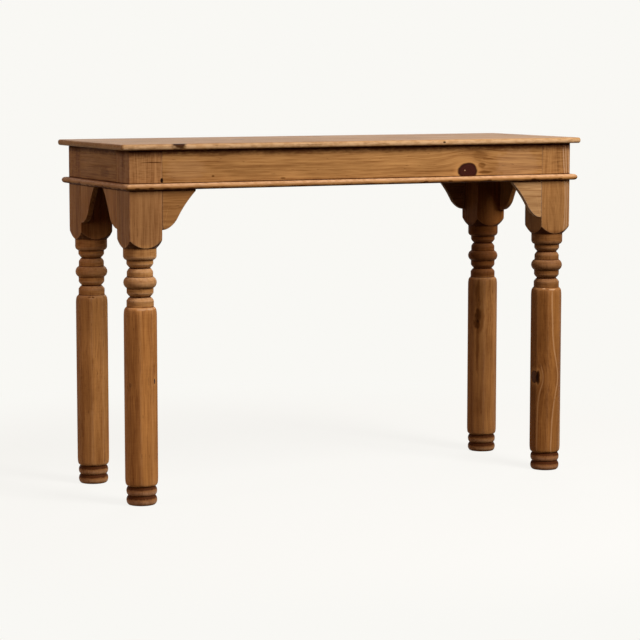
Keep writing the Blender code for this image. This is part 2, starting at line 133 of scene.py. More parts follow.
metres = partial(number, unit="LENGTH", precision=4)
watts = partial(number, unit="POWER")
amount = partial(number, subtype="FACTOR")


def degrees(name, default, description):
    """An angle that a user can change."""
    return number(name, math.radians(default), description, unit="ROTATION")


def tint(name, default, description):
    """A colour that a user can change."""
    return FloatVectorProperty(
        name=name, default=default, description=description, subtype="COLOR", size=3, min=0, max=1,
    )


def lamp_settings(name, power, width, height, distance, turn, rise):
    """The settings of one lamp."""
    title = name.capitalize()
    settings = (
        watts(title + " power", power, "Power of the light"),
        metres(title + " width", width, "Width of the light"),
        metres(title + " height", height, "Height of the light"),
        metres(title + " distance", distance, "From the middle of the table to the light"),
        degrees(title + " turn", turn, "The light's direction, from the front towards the right"),
        degrees(title + " rise", rise, "The light's direction, above the horizon"),
    )
    return {name + "_" + part: setting for part, setting in zip(LAMP_PARTS, settings)}


class LegSizes(PropertyGroup):
    """Sizes of the turning, from the block down to the foot."""

    block_below_bracket: metres("Block below bracket", 0.021, "Square stock left under a bracket")
    pommel_height: metres("Pommel height", 0.019, "Height of the curved cut under the block")
    pommel_bulge: metres("Pommel bulge", 0.0006, "How far that cut swells")
    cap_radius: metres("Cap radius", 0.0364, "Drum under the block")
    cap_height: metres("Cap height", 0.0255, "Height of the drum with its rounding")
    cap_rounding: metres("Cap rounding", 0.0085, "Height of the rounding under the drum")
    fillet_radius: metres("Fillet radius", 0.0292, "Plain bands beside the grooves")
    upper_fillet_height: metres("Upper fillet height", 0.0085, "Band over the upper groove")
    neck_radius: metres("Neck radius", 0.0222, "Bottom of the V grooves")
    neck_height: metres("Neck height", 0.0168, "Height of a V groove")
    neck_bulge: metres("Neck bulge", 0.0006, "Rounding of a groove's lips")
    ring_radius: metres("Ring radius", 0.0285, "Band over the bulb")
    ring_height: metres("Ring height", 0.011, "Height of that band")
    bulb_radius: metres("Bulb radius", 0.0362, "Widest place of the bulb")
    bulb_height: metres("Bulb height", 0.0245, "Height of the bulb")
    lower_fillet_height: metres("Lower fillet height", 0.0105, "Band under the bulb")
    collar_radius: metres("Collar radius", 0.0297, "Collar over the shaft")
    collar_height: metres("Collar height", 0.0135, "Height of the collar")
    shaft_across_flats: metres("Shaft across flats", 0.0694, "Eight-sided shaft")
    shoulder_height: metres("Shoulder height", 0.0115, "Rounding at the top of the shaft")
    shoulder_bulge: metres("Shoulder bulge", 0.0012, "How far the shoulder swells")
    heel_height: metres("Heel height", 0.0097, "Rounding at the bottom of the shaft")
    heel_bulge: metres("Heel bulge", 0.0015, "How far the heel swells")
    foot_bead_radius: metres("Foot bead radius", 0.0343, "Widest place of the foot's beads")
    foot_bead_height: metres("Foot bead height", 0.0204, "Height of one bead")
    foot_groove_radius: metres("Foot groove radius", 0.0293, "Grooves between the beads")
    arris_spread: metres("Arris spread", 0.0005, "How far turned edges are rubbed round")


class FrameSizes(PropertyGroup):
    """Sizes of the rails, brackets, bead and top that the frame's boxes don't give."""

    rail_ease: metres("Rail ease", 0.0004, "Rounding of a rail's edges")
    bracket_ease: metres("Bracket ease", 0.0015, "Rounding of a bracket's edges")
    bracket_tip: metres("Bracket tip", 0.0035, "Blunt end of a bracket")
    bracket_tip_slope: degrees("Tip slope", 46, "Slope of a bracket's edge at its tip")
    front_bracket_swell: metres("Front swell", 0.0368, "Distance of the swell from the post, long sides")
    end_bracket_swell: metres("End swell", 0.0445, "Distance of the swell from the post, ends")
    bracket_swell_drop: metres("Swell drop", 0.0595, "Distance of the swell from the rail")
    bracket_swell_slope: degrees("Swell slope", 62, "Slope of the edge above the swell")
    nose_radius: metres("Nose radius", 0.0055, "Rounding of the top's edges")
    top_corner: metres("Top corner", 0.0065, "Rounding of the top's corners in plan")
    joint_ease: metres("Joint ease", 0.00025, "Opening of the joints between the planks")
    fit_gap: metres("Fit gap", 0.0003, "Clearance of pieces that touch")
    rub: metres("Rub", 0.0005, "Deepest wear of the nose and the bead")


class PineColours(PropertyGroup):
    """Colours of the waxed pine, the bare pine and the screws."""

    earlywood: tint("Earlywood", (0.43, 0.208, 0.066), "Pale part of a year ring")
    latewood: tint("Latewood", (0.15, 0.049, 0.01), "Dark part of a year ring")
    knot: tint("Knot", (0.034, 0.008, 0.005), "Heart of a knot")
    # The wax colour also paints shade: under the top, along the bead, on the legs' pommel cuts and feet
    wax: tint("Wax", (0.05, 0.011, 0.002), "Dark wax in grooves and dents")
    # The rubbed colour also paints highlights where the turnings and the bead face up
    rubbed: tint("Rubbed", (0.575, 0.345, 0.185), "Wood rubbed pale on edges")
    bare_earlywood: tint("Bare earlywood", (0.62, 0.43, 0.23), "Unfinished wood, pale part")
    bare_latewood: tint("Bare latewood", (0.42, 0.24, 0.1), "Unfinished wood, dark part")
    zinc: tint("Zinc", (0.48, 0.46, 0.42), "Plating of the screws")


class StageLook(PropertyGroup):
    """Floor, light and camera."""

    backdrop: tint("Backdrop", (0.947, 0.939, 0.905), "Floor and background")
    floor_shade: amount("Floor shade", 0.085, "How strongly the floor takes shadows")
    floor_bounce: amount("Floor bounce", 0.012, "Brightness of the floor as the wood sees it")
    fill: amount("Fill", 0.12, "Strength of the soft light from all round")
    fill_colour: tint("Fill colour", (1.0, 0.18, 0.035), "Warm tint of that light")
    side_colour: tint("Side colour", (0.94, 0.86, 0.8), "Warm tint of the side light")
    camera_place: FloatVectorProperty(
        name="Camera place", default=(-2.361, -4.819, 0.954), description="Position of the camera",
        subtype="TRANSLATION", size=3,
    )
    camera_turn: degrees("Camera turn", 26.033, "Camera's direction, from +Y towards +X")
    camera_dip: degrees("Camera dip", 6.26, "Camera's direction, below the horizon")
    camera_lens: number("Camera lens", 130.49, "Focal length on a 36 mm sensor", unit="CAMERA")

    # Blender takes the settings of a group from its annotations
    __annotations__.update(
        **lamp_settings("key", power=165, width=1.3, height=2.6, distance=3.6, turn=24, rise=41),
        **lamp_settings("side", power=88, width=2.0, height=3.0, distance=6.0, turn=-78, rise=12),
        **lamp_settings("back", power=100, width=2.6, height=2.6, distance=5.0, turn=142, rise=16),
    )


# Meshes

def grid_piece(name, grid, wear, grime=0.0, turned=0.0):
    """A closed mesh from rings of points.

    Vertex (i, j) is grid[i, j]. A quad joins rings i and i + 1 at columns j and j + 1, and the last
    column meets the first. Rings that close to a point or a line are merged there.
    """
    rows, columns = grid.shape[:2]
    here = np.arange(rows * columns).reshape(rows, columns)
    beside = np.roll(here, -1, axis=1)
    quads = np.stack([here[:-1], beside[:-1], beside[1:], here[1:]], axis=-1).reshape(-1, 4)
    mesh = bpy.data.meshes.new(name)
    mesh.vertices.add(rows * columns)
    mesh.vertices.foreach_set("co", grid.astype(np.float32).ravel())
    mesh.loops.add(quads.size)
    mesh.loops.foreach_set("vertex_index", quads.astype(np.int32).ravel())
    mesh.polygons.add(len(quads))
    mesh.polygons.foreach_set("loop_start", np.arange(0, quads.size, 4, dtype=np.int32))
    mesh.update(calc_edges=True)
    # The second attribute darkens the wood: dark wax, and painted shade on the legs' pommel cuts and feet
    # and under the bead's round
    for label, values in (("wear", wear), ("grime", grime), ("turned", turned)):
        layer = mesh.attributes.new(label, "FLOAT", "POINT")
        spread = np.broadcast_to(values, (rows, columns)).astype(np.float32)
        layer.data.foreach_set("value", spread.ravel())
    shape = bmesh.new()
    shape.from_mesh(mesh)
    bmesh.ops.remove_doubles(shape, verts=shape.verts, dist=MERGE_DISTANCE)
    bmesh.ops.recalc_face_normals(shape, faces=shape.faces)
    shape.to_mesh(mesh)
    shape.free()
    mesh.shade_smooth()
    piece = bpy.data.objects.new(name, mesh)
    bpy.context.scene.collection.objects.link(piece)
    return piece


def wooden_piece(node, surface, grain, colours):
    """A piece of waxed pine in the place of a node of the frame."""
    piece = grid_piece(node + "_wood", *surface)
    piece.data.materials.append(pine(node + "_pine", grain, colours))
    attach(piece, BODY)
    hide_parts(node)


def arc(start, end, bulge, steps):
    """Points after start on a round arc to end, whose middle stands out from the chord by bulge.

    With half chord h the radius is (h^2 + bulge^2) / (2 bulge), and the arc spans 4 atan(bulge / h).
    A positive bulge is on the left of the way from start to end.
    """
    start = np.asarray(start, float)
    end = np.asarray(end, float)
    half_chord = np.linalg.norm(end - start) / 2
    along = (end - start) / (2 * half_chord)
    across = np.array([-along[1], along[0]])
    radius = (half_chord**2 + bulge**2) / (2 * bulge)
    turn = 2 * math.atan(bulge / half_chord) * np.linspace(-1, 1, steps + 1)[1:, None]
    centre = (start + end) / 2 + across * (bulge - radius)
    return centre + radius * (across * np.cos(turn) + along * np.sin(turn))


def evenly(path, spacing):
    """The points of a polyline taken again at even steps along it."""
    steps = np.linalg.norm(np.diff(path, axis=0), axis=1)
    travelled = np.concatenate([[0], np.cumsum(steps)])
    stations = np.linspace(0, travelled[-1], int(travelled[-1] / spacing) + 1)
    return np.stack([np.interp(stations, travelled, column) for column in path.T], axis=-1)


def running_mean(values, spread):
    """Each value averaged with its neighbours by a bell curve of that many steps, the ends kept."""
    reach = int(4 * spread)
    weights = np.exp(-0.5 * (np.arange(-reach, reach + 1) / spread) ** 2)
    padded = np.pad(values, reach, mode="reflect", reflect_type="odd")
    return np.convolve(padded, weights / weights.sum(), mode="valid")


def hand_wave(positions, seed):
    """A slow, uneven wave between 0 and 1 along a piece: three sines of unrelated pitch."""
    turns = np.array([3.1, 7.7, 17.3])[:, None] * (positions + seed) * 2 * np.pi
    return 0.5 + np.sin(turns + np.array([0.0, 1.3, 2.9])[:, None] * seed).sum(axis=0) / 6


# Turned legs

def leg_profile(leg, top, block_bottom, block_corner):
    """Radius and height of the turning from the top of the block to the floor, and the collar's middle.

    Straight bands and arcs are joined, taken at even steps and averaged along the way, which rounds
    every turned edge. Where the block and the shaft keep flat sides, the radius runs on outside them.
    """
    shaft_clear = 1.03 * leg.shaft_across_flats / 2 / math.cos(math.pi / 8)
    outside = 1.5 * block_corner
    block_run = 1.2 * (outside - block_corner)
    shaft_run = 1.6 * (outside - shaft_clear)
    shaft_bottom = 2 * leg.foot_bead_height + leg.heel_height
    bead_bulge = leg.foot_bead_radius - leg.foot_groove_radius
    bulb_bulge = leg.bulb_radius - (leg.ring_radius + leg.fillet_radius) / 2
    block = [(0, top), (outside, top), (outside, block_bottom + block_run), (block_corner, block_bottom)]
    path = [np.array(block)]

    def cut_to(radius, height, bulge=0.0, steps=CUT_STEPS):
        start = path[-1][-1]
        path.append(arc(start, (radius, height), bulge, steps) if bulge else np.array([(radius, height)]))

    def cut_down(radius, drop, bulge=0.0, steps=CUT_STEPS):
        cut_to(radius, path[-1][-1][1] - drop, bulge, steps)

    def groove(lower_radius):
        cut_down(leg.neck_radius, leg.neck_height / 2, leg.neck_bulge)
        cut_down(lower_radius, leg.neck_height / 2, leg.neck_bulge)

    cut_down(leg.cap_radius, leg.pommel_height, leg.pommel_bulge)
    cut_down(leg.cap_radius, leg.cap_height - leg.cap_rounding)
    cut_down(leg.fillet_radius, leg.cap_rounding, (leg.cap_radius - leg.fillet_radius) / 4)
    cut_down(leg.fillet_radius, leg.upper_fillet_height)
    groove(leg.ring_radius)
    cut_down(leg.ring_radius, leg.ring_height)
    cut_down(leg.fillet_radius, leg.bulb_height, bulb_bulge, BULB_STEPS)
    cut_down(leg.fillet_radius, leg.lower_fillet_height)
    groove(leg.collar_radius)
    cut_down(leg.collar_radius, leg.collar_height)
    collar_middle = path[-1][-1][1] + leg.collar_height / 2
    cut_down(shaft_clear, leg.shoulder_height, leg.shoulder_bulge)
    cut_down(outside, shaft_run)
    cut_to(outside, shaft_bottom + shaft_run)
    cut_to(shaft_clear, shaft_bottom)
    cut_to(leg.foot_groove_radius, 2 * leg.foot_bead_height, leg.heel_bulge)
    cut_to(leg.foot_groove_radius, leg.foot_bead_height, bead_bulge, FOOT_STEPS)
    cut_to(leg.foot_groove_radius, 0, bead_bulge, FOOT_STEPS)
    cut_to(0, 0)
    even = evenly(np.concatenate(path), PROFILE_STEP)
    spread = leg.arris_spread / PROFILE_STEP
    radius = np.maximum(running_mean(even[:, 0], spread), 0)
    return radius, running_mean(even[:, 1], spread), collar_middle


def gathered_rows(radius, height, inner, outer):
    """Row numbers along a profile, close together where it bends or cuts through flat sides."""
    run = np.hypot(np.gradient(radius), np.gradient(height))
    heading = np.unwrap(np.arctan2(np.gradient(height), np.gradient(radius)))
    bend = np.abs(np.gradient(heading))
    cutting = (radius > inner) & (radius < outer)
    shown = np.where(radius > outer, 0, bend / BEND_PER_ROW + run / TURNED_GAP)
    total = np.cumsum(run / HIDDEN_GAP + shown + cutting * run / CUT_GAP)
    return np.unique(np.searchsorted(total, np.linspace(total[0], total[-1], LEG_ROWS)))


def leg_columns():
    """Angles round the leg, with extra ones beside the corners of the block and of the shaft."""
    even = np.arange(LEG_COLUMNS) * 2 * np.pi / LEG_COLUMNS
    block = (np.arange(4)[:, None] + 0.5) * np.pi / 2 + BLOCK_EDGE_ANGLES
    shaft = (np.arange(8)[:, None] + 0.5) * np.pi / 4 + SHAFT_EDGE_ANGLES
    angles = np.concatenate([even, block.ravel(), shaft.ravel()]) % (2 * np.pi)
    return np.unique(np.round(angles, 5))


def flats(turn, apothem, sides, power):
    """Distance from the axis to an even-sided prism in each direction, with eased and with sharp edges.

    With n sides it is apothem / (sum |cos(turn - k 2 pi / n)|^power)^(1 / power) over half of the sides.
    """
    facing = np.abs(np.cos(turn - np.arange(sides // 2)[:, None] * 2 * np.pi / sides))
    return apothem / (facing**power).sum(axis=0) ** (1 / power), apothem / facing.max(axis=0)


def leg_patina(leg, radius, height, above, widest):
    """How much the turning is made paler and darker along its profile, by wear, wax, painted highlights and
    painted shade.

    It is rubbed where it stands proud, and painted paler as a highlight where it faces up and on the foot
    just under the widest places. Wax lies where it is slimmer than around it. Dark wax and painted shade lie
    on the cut under the block, and painted shade on the foot where it faces up.
    """
    held = np.minimum(radius, widest)
    around = running_mean(held, PATINA_STEPS)
    hollow = np.interp(around - held, WAX_DEPTHS, (0, 1))
    proud = np.interp(held - around, RUB_HEIGHTS, (0, 1))
    widening = np.gradient(radius)
    upward = widening / np.hypot(widening, np.gradient(height))
    foot = height < 2 * leg.foot_bead_height
    # Facing up it is painted paler: a highlight from the light above, beside the wear on proud ridges
    rubbed = np.maximum(np.where(above, 0.6, 0.2) * proud, 0.6 * np.clip(upward, 0, 1))
    # On the foot a pale band just under the widest places is a painted highlight
    rubbed = np.where(foot, np.clip(0.75 - 1.6 * np.abs(upward + 0.25), 0, 1), rubbed)
    # The cut under the block is darkened by dark wax and painted shade
    pommel_wax_and_shade = (radius > leg.cap_radius * 1.02) & above
    # The foot is darkened where it faces up: painted shade under the shaft
    painted_foot_shade = foot * np.clip(1.6 * upward + 0.1, 0, 0.95)
    return rubbed, np.maximum(hollow, np.maximum(0.75 * pommel_wax_and_shade, painted_foot_shade))


def leg_surface(leg, axis, top, block_half, block_bottom):
    """Rings of the leg: in each direction the turning or the flat side, whichever is nearer the axis.

    The nearer of r1 and r2 is taken softly, as (r1^-p + r2^-p)^(-1 / p), so their arris is eased. Wear
    there is what the easing took off.
    """
    block_corner = block_half * math.sqrt(2)
    apothem = leg.shaft_across_flats / 2
    radius, height, split = leg_profile(leg, top, block_bottom, block_corner)
    widest = np.where(height > split, block_half * 1.1, apothem)
    # rubbed holds painted highlights as well as wear, and waxed holds painted shade as well as dark wax
    rubbed, waxed = leg_patina(leg, radius, height, height > split, widest)
    rows = gathered_rows(radius, height, apothem * 0.98, block_corner)
    radius = np.maximum(radius[rows], ON_AXIS)[:, None]
    height = height[rows][:, None]
    turn = leg_columns()
    block, sharp_block = flats(turn, block_half, 4, BLOCK_POWER)
    shaft, sharp_shaft = flats(turn, apothem, 8, SHAFT_POWER)
    above = height > split
    power = np.where(above, BLOCK_POWER, SHAFT_POWER)
    flat = np.where(above, block, shaft)
    sharp = np.minimum(radius, np.where(above, sharp_block, sharp_shaft))
    nearest = np.minimum(radius, flat)
    soft = nearest * ((radius / nearest) ** -power + (flat / nearest) ** -power) ** (-1 / power)
    wear = np.clip((1 - soft / sharp) * power * 1.2, 0, 1) * np.where(above, 0.5, 0.25)
    turned = (radius < flat) + 0.0
    # The turning's wear includes its painted highlights
    wear = np.maximum(wear, turned * rubbed[rows][:, None])
    grid = [axis[0] + soft * np.cos(turn), axis[1] + soft * np.sin(turn), height + 0 * soft]
    # The third array darkens the turning: dark wax in hollows, and painted shade on the pommel cut and the
    # foot
    return np.stack(grid, axis=-1), wear, turned * waxed[rows][:, None], turned


# Flat pieces

def plate_rings(outline, inward, core, low, high, ease):
    """Rings (a, b, c) of a flat piece with eased edges, and how far round the edge each one is.

    From the core at c = low the rings run out to the outline, round the lower edge, up the side, round
    the upper edge and back to the core at c = high. On an edge a ring is outline + inward (1 - sin t),
    and c is ease (1 - cos t) from the face, for t up to a quarter turn.
    """
    turn = np.linspace(0, np.pi / 2, EASE_STEPS)
    drawn_in = (1 - np.sin(turn))[:, None, None]
    rise = ease * (1 - np.cos(turn))
    face = core + FACE_SHARES[:, None, None] * (outline + inward - core)
    bend = outline + drawn_in * inward
    plan = np.concatenate([face, bend, bend[::-1], face[::-1]])
    flat = np.zeros(len(FACE_SHARES))
    level = np.concatenate([low + flat, low + rise, high - rise[::-1], high + flat])
    edge = np.concatenate([flat, np.sin(turn), np.sin(turn)[::-1], flat])[:, None]
    levels = np.broadcast_to(level[:, None], plan.shape[:2])
    return np.dstack([plan, levels]), edge


def arris_wear(edge):
    """Wear that is strongest half way round an edge."""
    return 2.4 * edge * (1 - edge)


def outward(outline):
    """Unit normals of a closed outline that runs counter-clockwise."""
    along = np.roll(outline, -1, axis=0) - np.roll(outline, 1, axis=0)
    normal = np.stack([along[:, 1], -along[:, 0]], axis=-1)
    return normal / np.linalg.norm(normal, axis=1)[:, None]


def rectangle(low, high, radii, steps):
    """A closed rectangle from its low to its high corner, counter-clockwise, with rounded corners.

    Radii are for the corners from the low one on. Long sides get the given number of steps. Opposite
    sides have their points face to face, and two more stand close to the corners.
    """
    corners = np.array([(low[0], low[1]), (high[0], low[1]), (high[0], high[1]), (low[0], high[1])])
    to_middle = np.array([(1, 1), (-1, 1), (-1, -1), (1, -1)])
    sides = np.roll(corners, -1, axis=0) - corners
    quarter = np.linspace(0, np.pi / 2, EDGE_STEPS)
    path = []
    for index, radius in enumerate(radii):
        turn = quarter + (index - 2) * np.pi / 2
        middle = corners[index] + radius * to_middle[index]
        length = np.linalg.norm(sides[index])
        count = steps if index % 2 == 0 else EDGE_STEPS
        even = np.linspace(max(radii), length - max(radii), count + 1)[1:-1]
        last = length - radii[(index + 1) % 4] - BESIDE_CORNER
        stations = np.concatenate([[radius + BESIDE_CORNER], even, [last]])
        path.append(middle + radius * np.stack([np.cos(turn), np.sin(turn)], axis=-1))
        path.append(corners[index] + stations[:, None] * sides[index] / length)
    return np.concatenate(path)


def spine(outline, low, high):
    """For each outline point the nearest point of the middle line of its rectangle."""
    half = (high[1] - low[1]) / 2
    along = np.clip(outline[:, 0], low[0] + half, high[0] - half)
    return np.stack([along, np.full(len(outline), (low[1] + high[1]) / 2)], axis=-1)


def on_side(rings, side):
    """Turns rings (along, up, depth) into (x, y, z) on a long side or on an end of the frame."""
    along, up, depth = np.moveaxis(rings, -1, 0)
    return np.stack([along, depth, up] if side in LONG_SIDES else [depth, along, up], axis=-1)


def side_range(side, low, high):
    """A box's range along a side and through it, as two pairs."""
    along, through = (0, 1) if side in LONG_SIDES else (1, 0)
    return (low[along], high[along]), (low[through], high[through])


def outer_face(side):
    """Where a side's outer face stands on its axis."""
    return max(side_range(side, *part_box("rail_" + side))[1], key=abs)


def rail_surface(side, sizes):
    """A board between two blocks: a rectangle along the side and up it, given thickness."""
    low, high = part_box("rail_" + side)
    _, through = side_range(side, low, high)
    post, _ = side_range(side, *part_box("leg_front_left"))
    inner = -post[1] - sizes.fit_gap
    corner = np.array([-inner, low[2]])
    opposite = np.array([inner, high[2]])
    ease = sizes.rail_ease
    outline = rectangle(corner, opposite, [ease] * 4, PLANK_STEPS)
    inward = -ease * outward(outline)
    rings, edge = plate_rings(outline, inward, spine(outline, corner, opposite), *through, ease)
    return on_side(rings, side), arris_wear(edge)


def bezier(points, steps):
    """A cubic Bezier curve: (1-t)^3 A + 3 (1-t)^2 t B + 3 (1-t) t^2 C + t^3 D for t from 0 to 1."""
    t = np.linspace(0, 1, steps + 1)[:, None]
    a, b, c, d = (np.asarray(point, float) for point in points)
    return (1 - t) ** 3 * a + 3 * (1 - t) ** 2 * t * b + 3 * (1 - t) * t**2 * c + t**3 * d


def bracket_outline(sizes, span, drop, swell_out):
    """A bracket seen from the front, counter-clockwise from its inner corner at (0, 0).

    Down the post to the heel, then an S curve of two Bezier pieces through the swell to the tip. A
    handle is a third of the way to the next knot.
    """
    heel = np.array([0, -drop])
    swell = np.array([swell_out, -sizes.bracket_swell_drop])
    tip = np.array([span, -sizes.bracket_tip])
    rise = np.array([math.cos(sizes.bracket_swell_slope), math.sin(sizes.bracket_swell_slope)])
    tip_rise = np.array([math.cos(sizes.bracket_tip_slope), math.sin(sizes.bracket_tip_slope)])
    lower = np.linalg.norm(swell - heel) / 3
    upper = np.linalg.norm(tip - swell) / 3
    down = np.linspace(0, 1, OGEE_STEPS)[:-1, None] * heel
    first = bezier((heel, heel + (lower, 0), swell - rise * lower, swell), OGEE_STEPS)[:-1]
    second = bezier((swell, swell + rise * upper, tip - tip_rise * upper, tip), OGEE_STEPS)
    back = np.array([span, 0]) * np.linspace(1, 0, OGEE_STEPS)[:-1, None]
    return np.concatenate([down, first, second, back])


def bracket_surface(side, end, sizes):
    """A shaped board under a rail, drawn from its inner corner and turned to its own end."""
    low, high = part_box("bracket_" + side + "_" + end)
    reach, through = side_range(side, low, high)
    span = reach[1] - reach[0]
    drop = high[2] - low[2]
    swell_out = sizes.front_bracket_swell if side in LONG_SIDES else sizes.end_bracket_swell
    outline = bracket_outline(sizes, span, drop, swell_out)
    inward = -sizes.bracket_ease * outward(outline)
    core = np.array([0.22, -0.26]) * (span, drop)
    rings, edge = plate_rings(outline, inward, core, *through, sizes.bracket_ease)
    toward_middle = 1 if reach[0] + reach[1] < 0 else -1
    start = reach[0] if toward_middle > 0 else reach[1]
    rings = rings * (toward_middle, 1, 1) + (start, high[2], 0)
    return on_side(rings, side), arris_wear(edge)


def bead_surface(side, sizes, seed):
    """A half-round strip with mitred ends.

    A section point at distance p from the rail runs along the side from -(half + p) to half + p, which
    cuts the mitres. Hand wear draws the round face in by a slow wave. Both ends close on their middle.
    """
    low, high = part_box("bead_" + side)
    _, through = side_range(side, low, high)
    post_along, post_through = side_range(side, *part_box("leg_front_left"))
    half, face = -post_along[0], -post_through[0]
    front = max(abs(through[0]), abs(through[1])) - face
    height = high[2] - low[2]
    radius = height / 2
    turn = np.linspace(-np.pi / 2, np.pi / 2, BEAD_ROUND_STEPS)
    round_face = np.stack([front - radius + radius * np.cos(turn), radius + radius * np.sin(turn)], axis=-1)
    back = np.array([(sizes.fit_gap, height), (sizes.fit_gap, radius), (sizes.fit_gap, 0)])
    section = np.concatenate([round_face, back])
    mitre_gap = sizes.fit_gap * 0.7
    along = np.linspace(-1, 1, BEAD_STEPS)[:, None] * (half + section[:, 0] - mitre_gap)
    rub = sizes.rub * hand_wave(along.ravel(), seed).reshape(along.shape)
    roundness = np.clip((section[:, 0] - sizes.fit_gap) / radius, 0, 1)
    proud = section[:, 0] - rub * roundness
    up = low[2] + section[:, 1] + 0 * along
    outward_sign = 1 if through[0] + through[1] > 0 else -1
    rings = np.stack([along, up, outward_sign * (face + proud)], axis=-1)
    ends = [np.broadcast_to(rings[row].mean(axis=0), rings[row].shape)[None] for row in (0, -1)]
    rings = np.concatenate([ends[0], rings, ends[1]])
    unworn = np.zeros(len(back))
    # The top of the round is paler: rubbed wood and a painted highlight
    wear = np.concatenate([np.clip(2.2 * np.cos(turn - 0.95) - 1.2, 0, 1), unworn])[None, :]
    # The underside of the round is darkened as painted shade, unevenly along the bead
    painted_underside_shade = np.concatenate([np.clip(0.15 - np.sin(turn), 0, 1), unworn])[None, :]
    uneven = 0.3 + 0.8 * hand_wave(2.2 * half * np.linspace(-1, 1, len(rings)), seed)
    return on_side(rings, side), wear, painted_underside_shade * uneven[:, None]


def plank_surface(name, sizes, seed):
    """A plank of the top: a rectangle in plan, with the nose on its outer edges and tight joints.

    Beside a joint the nose of an end runs straight on to the joint, so three planks share one nose.
    """
    low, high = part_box("top_plank_" + name)
    nose = sizes.nose_radius
    is_front = name == PLANKS[0]
    is_back = name == PLANKS[-1]
    front_round = sizes.top_corner if is_front else sizes.joint_ease
    back_round = sizes.top_corner if is_back else sizes.joint_ease
    radii = (front_round, front_round, back_round, back_round)
    outline = rectangle(low[:2], high[:2], radii, PLANK_STEPS)
    normal = outward(outline)
    on_joint = np.where(normal[:, 1] < 0, not is_front, not is_back)
    eased = np.array([nose, sizes.joint_ease])
    square = np.clip(outline, np.array(low[:2]) + eased, np.array(high[:2]) - eased)
    flat = np.where(on_joint[:, None], square, outline - nose * normal)
    rub = sizes.rub * hand_wave(outline[:, 0] + outline[:, 1], seed)
    outline = outline + (flat - outline) / nose * rub[:, None]
    rings, edge = plate_rings(outline, flat - outline, spine(outline, low, high), low[2], high[2], nose)
    return rings, edge * (0.3 * normal[:, 0] ** 2 + np.where(on_joint, 0.0, 1.0) * normal[:, 1] ** 2)


# Materials

# A Mix node's sockets for a share and two colours, and for what they make
MIX_INPUTS = (0, 6, 7)
MIX_RESULT = 2


def shader_operator(operation, reflected=False):
    """An operator of Tone, which adds a Math node."""
    def apply(self, other):
        return self.math(operation, other, self) if reflected else self.math(operation, self, other)
    return apply


class Tone:
    """A shader value in a Python expression: each operator adds a Math node to its graph."""

    def __init__(self, graph, socket):
        self.graph = graph
        self.socket = socket

    def math(self, operation, first, second=0.0):
        return self.graph.node("Math", {"operation": operation}, {0: first, 1: second})

    __add__ = shader_operator("ADD")
    __radd__ = shader_operator("ADD", reflected=True)
    __sub__ = shader_operator("SUBTRACT")
    __rsub__ = shader_operator("SUBTRACT", reflected=True)
    __mul__ = shader_operator("MULTIPLY")
    __rmul__ = shader_operator("MULTIPLY", reflected=True)
    __truediv__ = shader_operator("DIVIDE")
    __rtruediv__ = shader_operator("DIVIDE", reflected=True)
    most = shader_operator("MAXIMUM")

    def root(self):
        return self.math("SQRT", self)

    def part(self):
        """What is left above the whole number."""
        return self.math("FRACT", self)

    def size(self):
        """Without its sign."""
        return self.math("ABSOLUTE", self)

    def between(self, start, end):
        """0 up to start, 1 from end on, smooth between them. It falls when end is below start."""
        rising = start < end
        ends = {"From Min": min(start, end), "From Max": max(start, end)}
        ends.update({"To Min": 0.0 if rising else 1.0, "To Max": 1.0 if rising else 0.0})
        return self.graph.node("MapRange", {"interpolation_type": "SMOOTHSTEP"}, {"Value": self, **ends})


class Graph:
    """The node tree of a material or of the world."""

    def __init__(self, tree):
        self.tree = tree
        tree.nodes.clear()

    def node(self, kind, settings=None, sockets=None, output=0):
        """Adds a shader node of a type, with its settings first and then its sockets' values or links."""
        node = self.tree.nodes.new("ShaderNode" + kind)
        for key, value in (settings or {}).items():
            setattr(node, key, value)
        for key, value in (sockets or {}).items():
            if isinstance(value, Tone):
                self.tree.links.new(value.socket, node.inputs[key])
            else:
                node.inputs[key].default_value = value
        return Tone(self, node.outputs[output]) if node.outputs else None

    def mixed(self, share, first, second, blend="MIX"):
        """Two colours mixed by a share."""
        colours = [c if isinstance(c, Tone) else (*c, 1) for c in (first, second)]
        settings = {"data_type": "RGBA", "blend_type": blend, "clamp_factor": True}
        sockets = dict(zip(MIX_INPUTS, (share, *colours)))
        return self.node("Mix", settings, sockets, MIX_RESULT)

    def noise(self, place, scale, detail=2.0, roughness=0.5):
        """Smooth noise around one half at x, y and z, with a pitch of about 1 / scale."""
        if isinstance(place, tuple):
            place = self.node("CombineXYZ", None, dict(enumerate(place)))
        sockets = {"Vector": place, "Scale": scale, "Detail": detail, "Roughness": roughness}
        return self.node("TexNoise", None, sockets)

    def attribute(self, name):
        """A value that the mesh carries on its points."""
        return self.node("Attribute", {"attribute_name": name}, None, "Fac")

    def object_place(self):
        """Where a point lies, in metres."""
        return self.node("TexCoord", None, None, "Object")


def new_material(name):
    """A material and its empty graph."""
    material = bpy.data.materials.new(name)
    material.use_nodes = True
    return material, Graph(material.node_tree)


# A knot at a place along and across the grain, its half width across and its length for that width. On
# a leg it faces an angle about the grain and stays on that side. Flow is how wide the grain bends round it.
Knot = namedtuple("Knot", "along across radius stretch flow depth facing dark", defaults=(0.0, None, 1.0))

# A dent, stain or rubbed place: its middle and half sizes in x, y and z, and how much it covers
Mark = namedtuple("Mark", "middle half cover rubbed", defaults=(0.9, False))

# A pale year line at a distance from the pith, between two places along the grain, and how clear it is
PaleLine = namedtuple("PaleLine", "at low high strength")

# How strongly year rings, streaks, hairlines and broad bands show, and how many streaks there are to a metre
Figure = namedtuple("Figure", "rings streaks hairs bands streaks_per_metre")
LEG_FIGURE = Figure(0.06, 0.65, 0.85, 0.7, 75.0)
BOARD_FIGURE = Figure(0.1, 0.42, 1.05, 0.42, 190.0)
BRACKET_FIGURE = Figure(0.08, 0.4, 0.7, 0.5, 150.0)

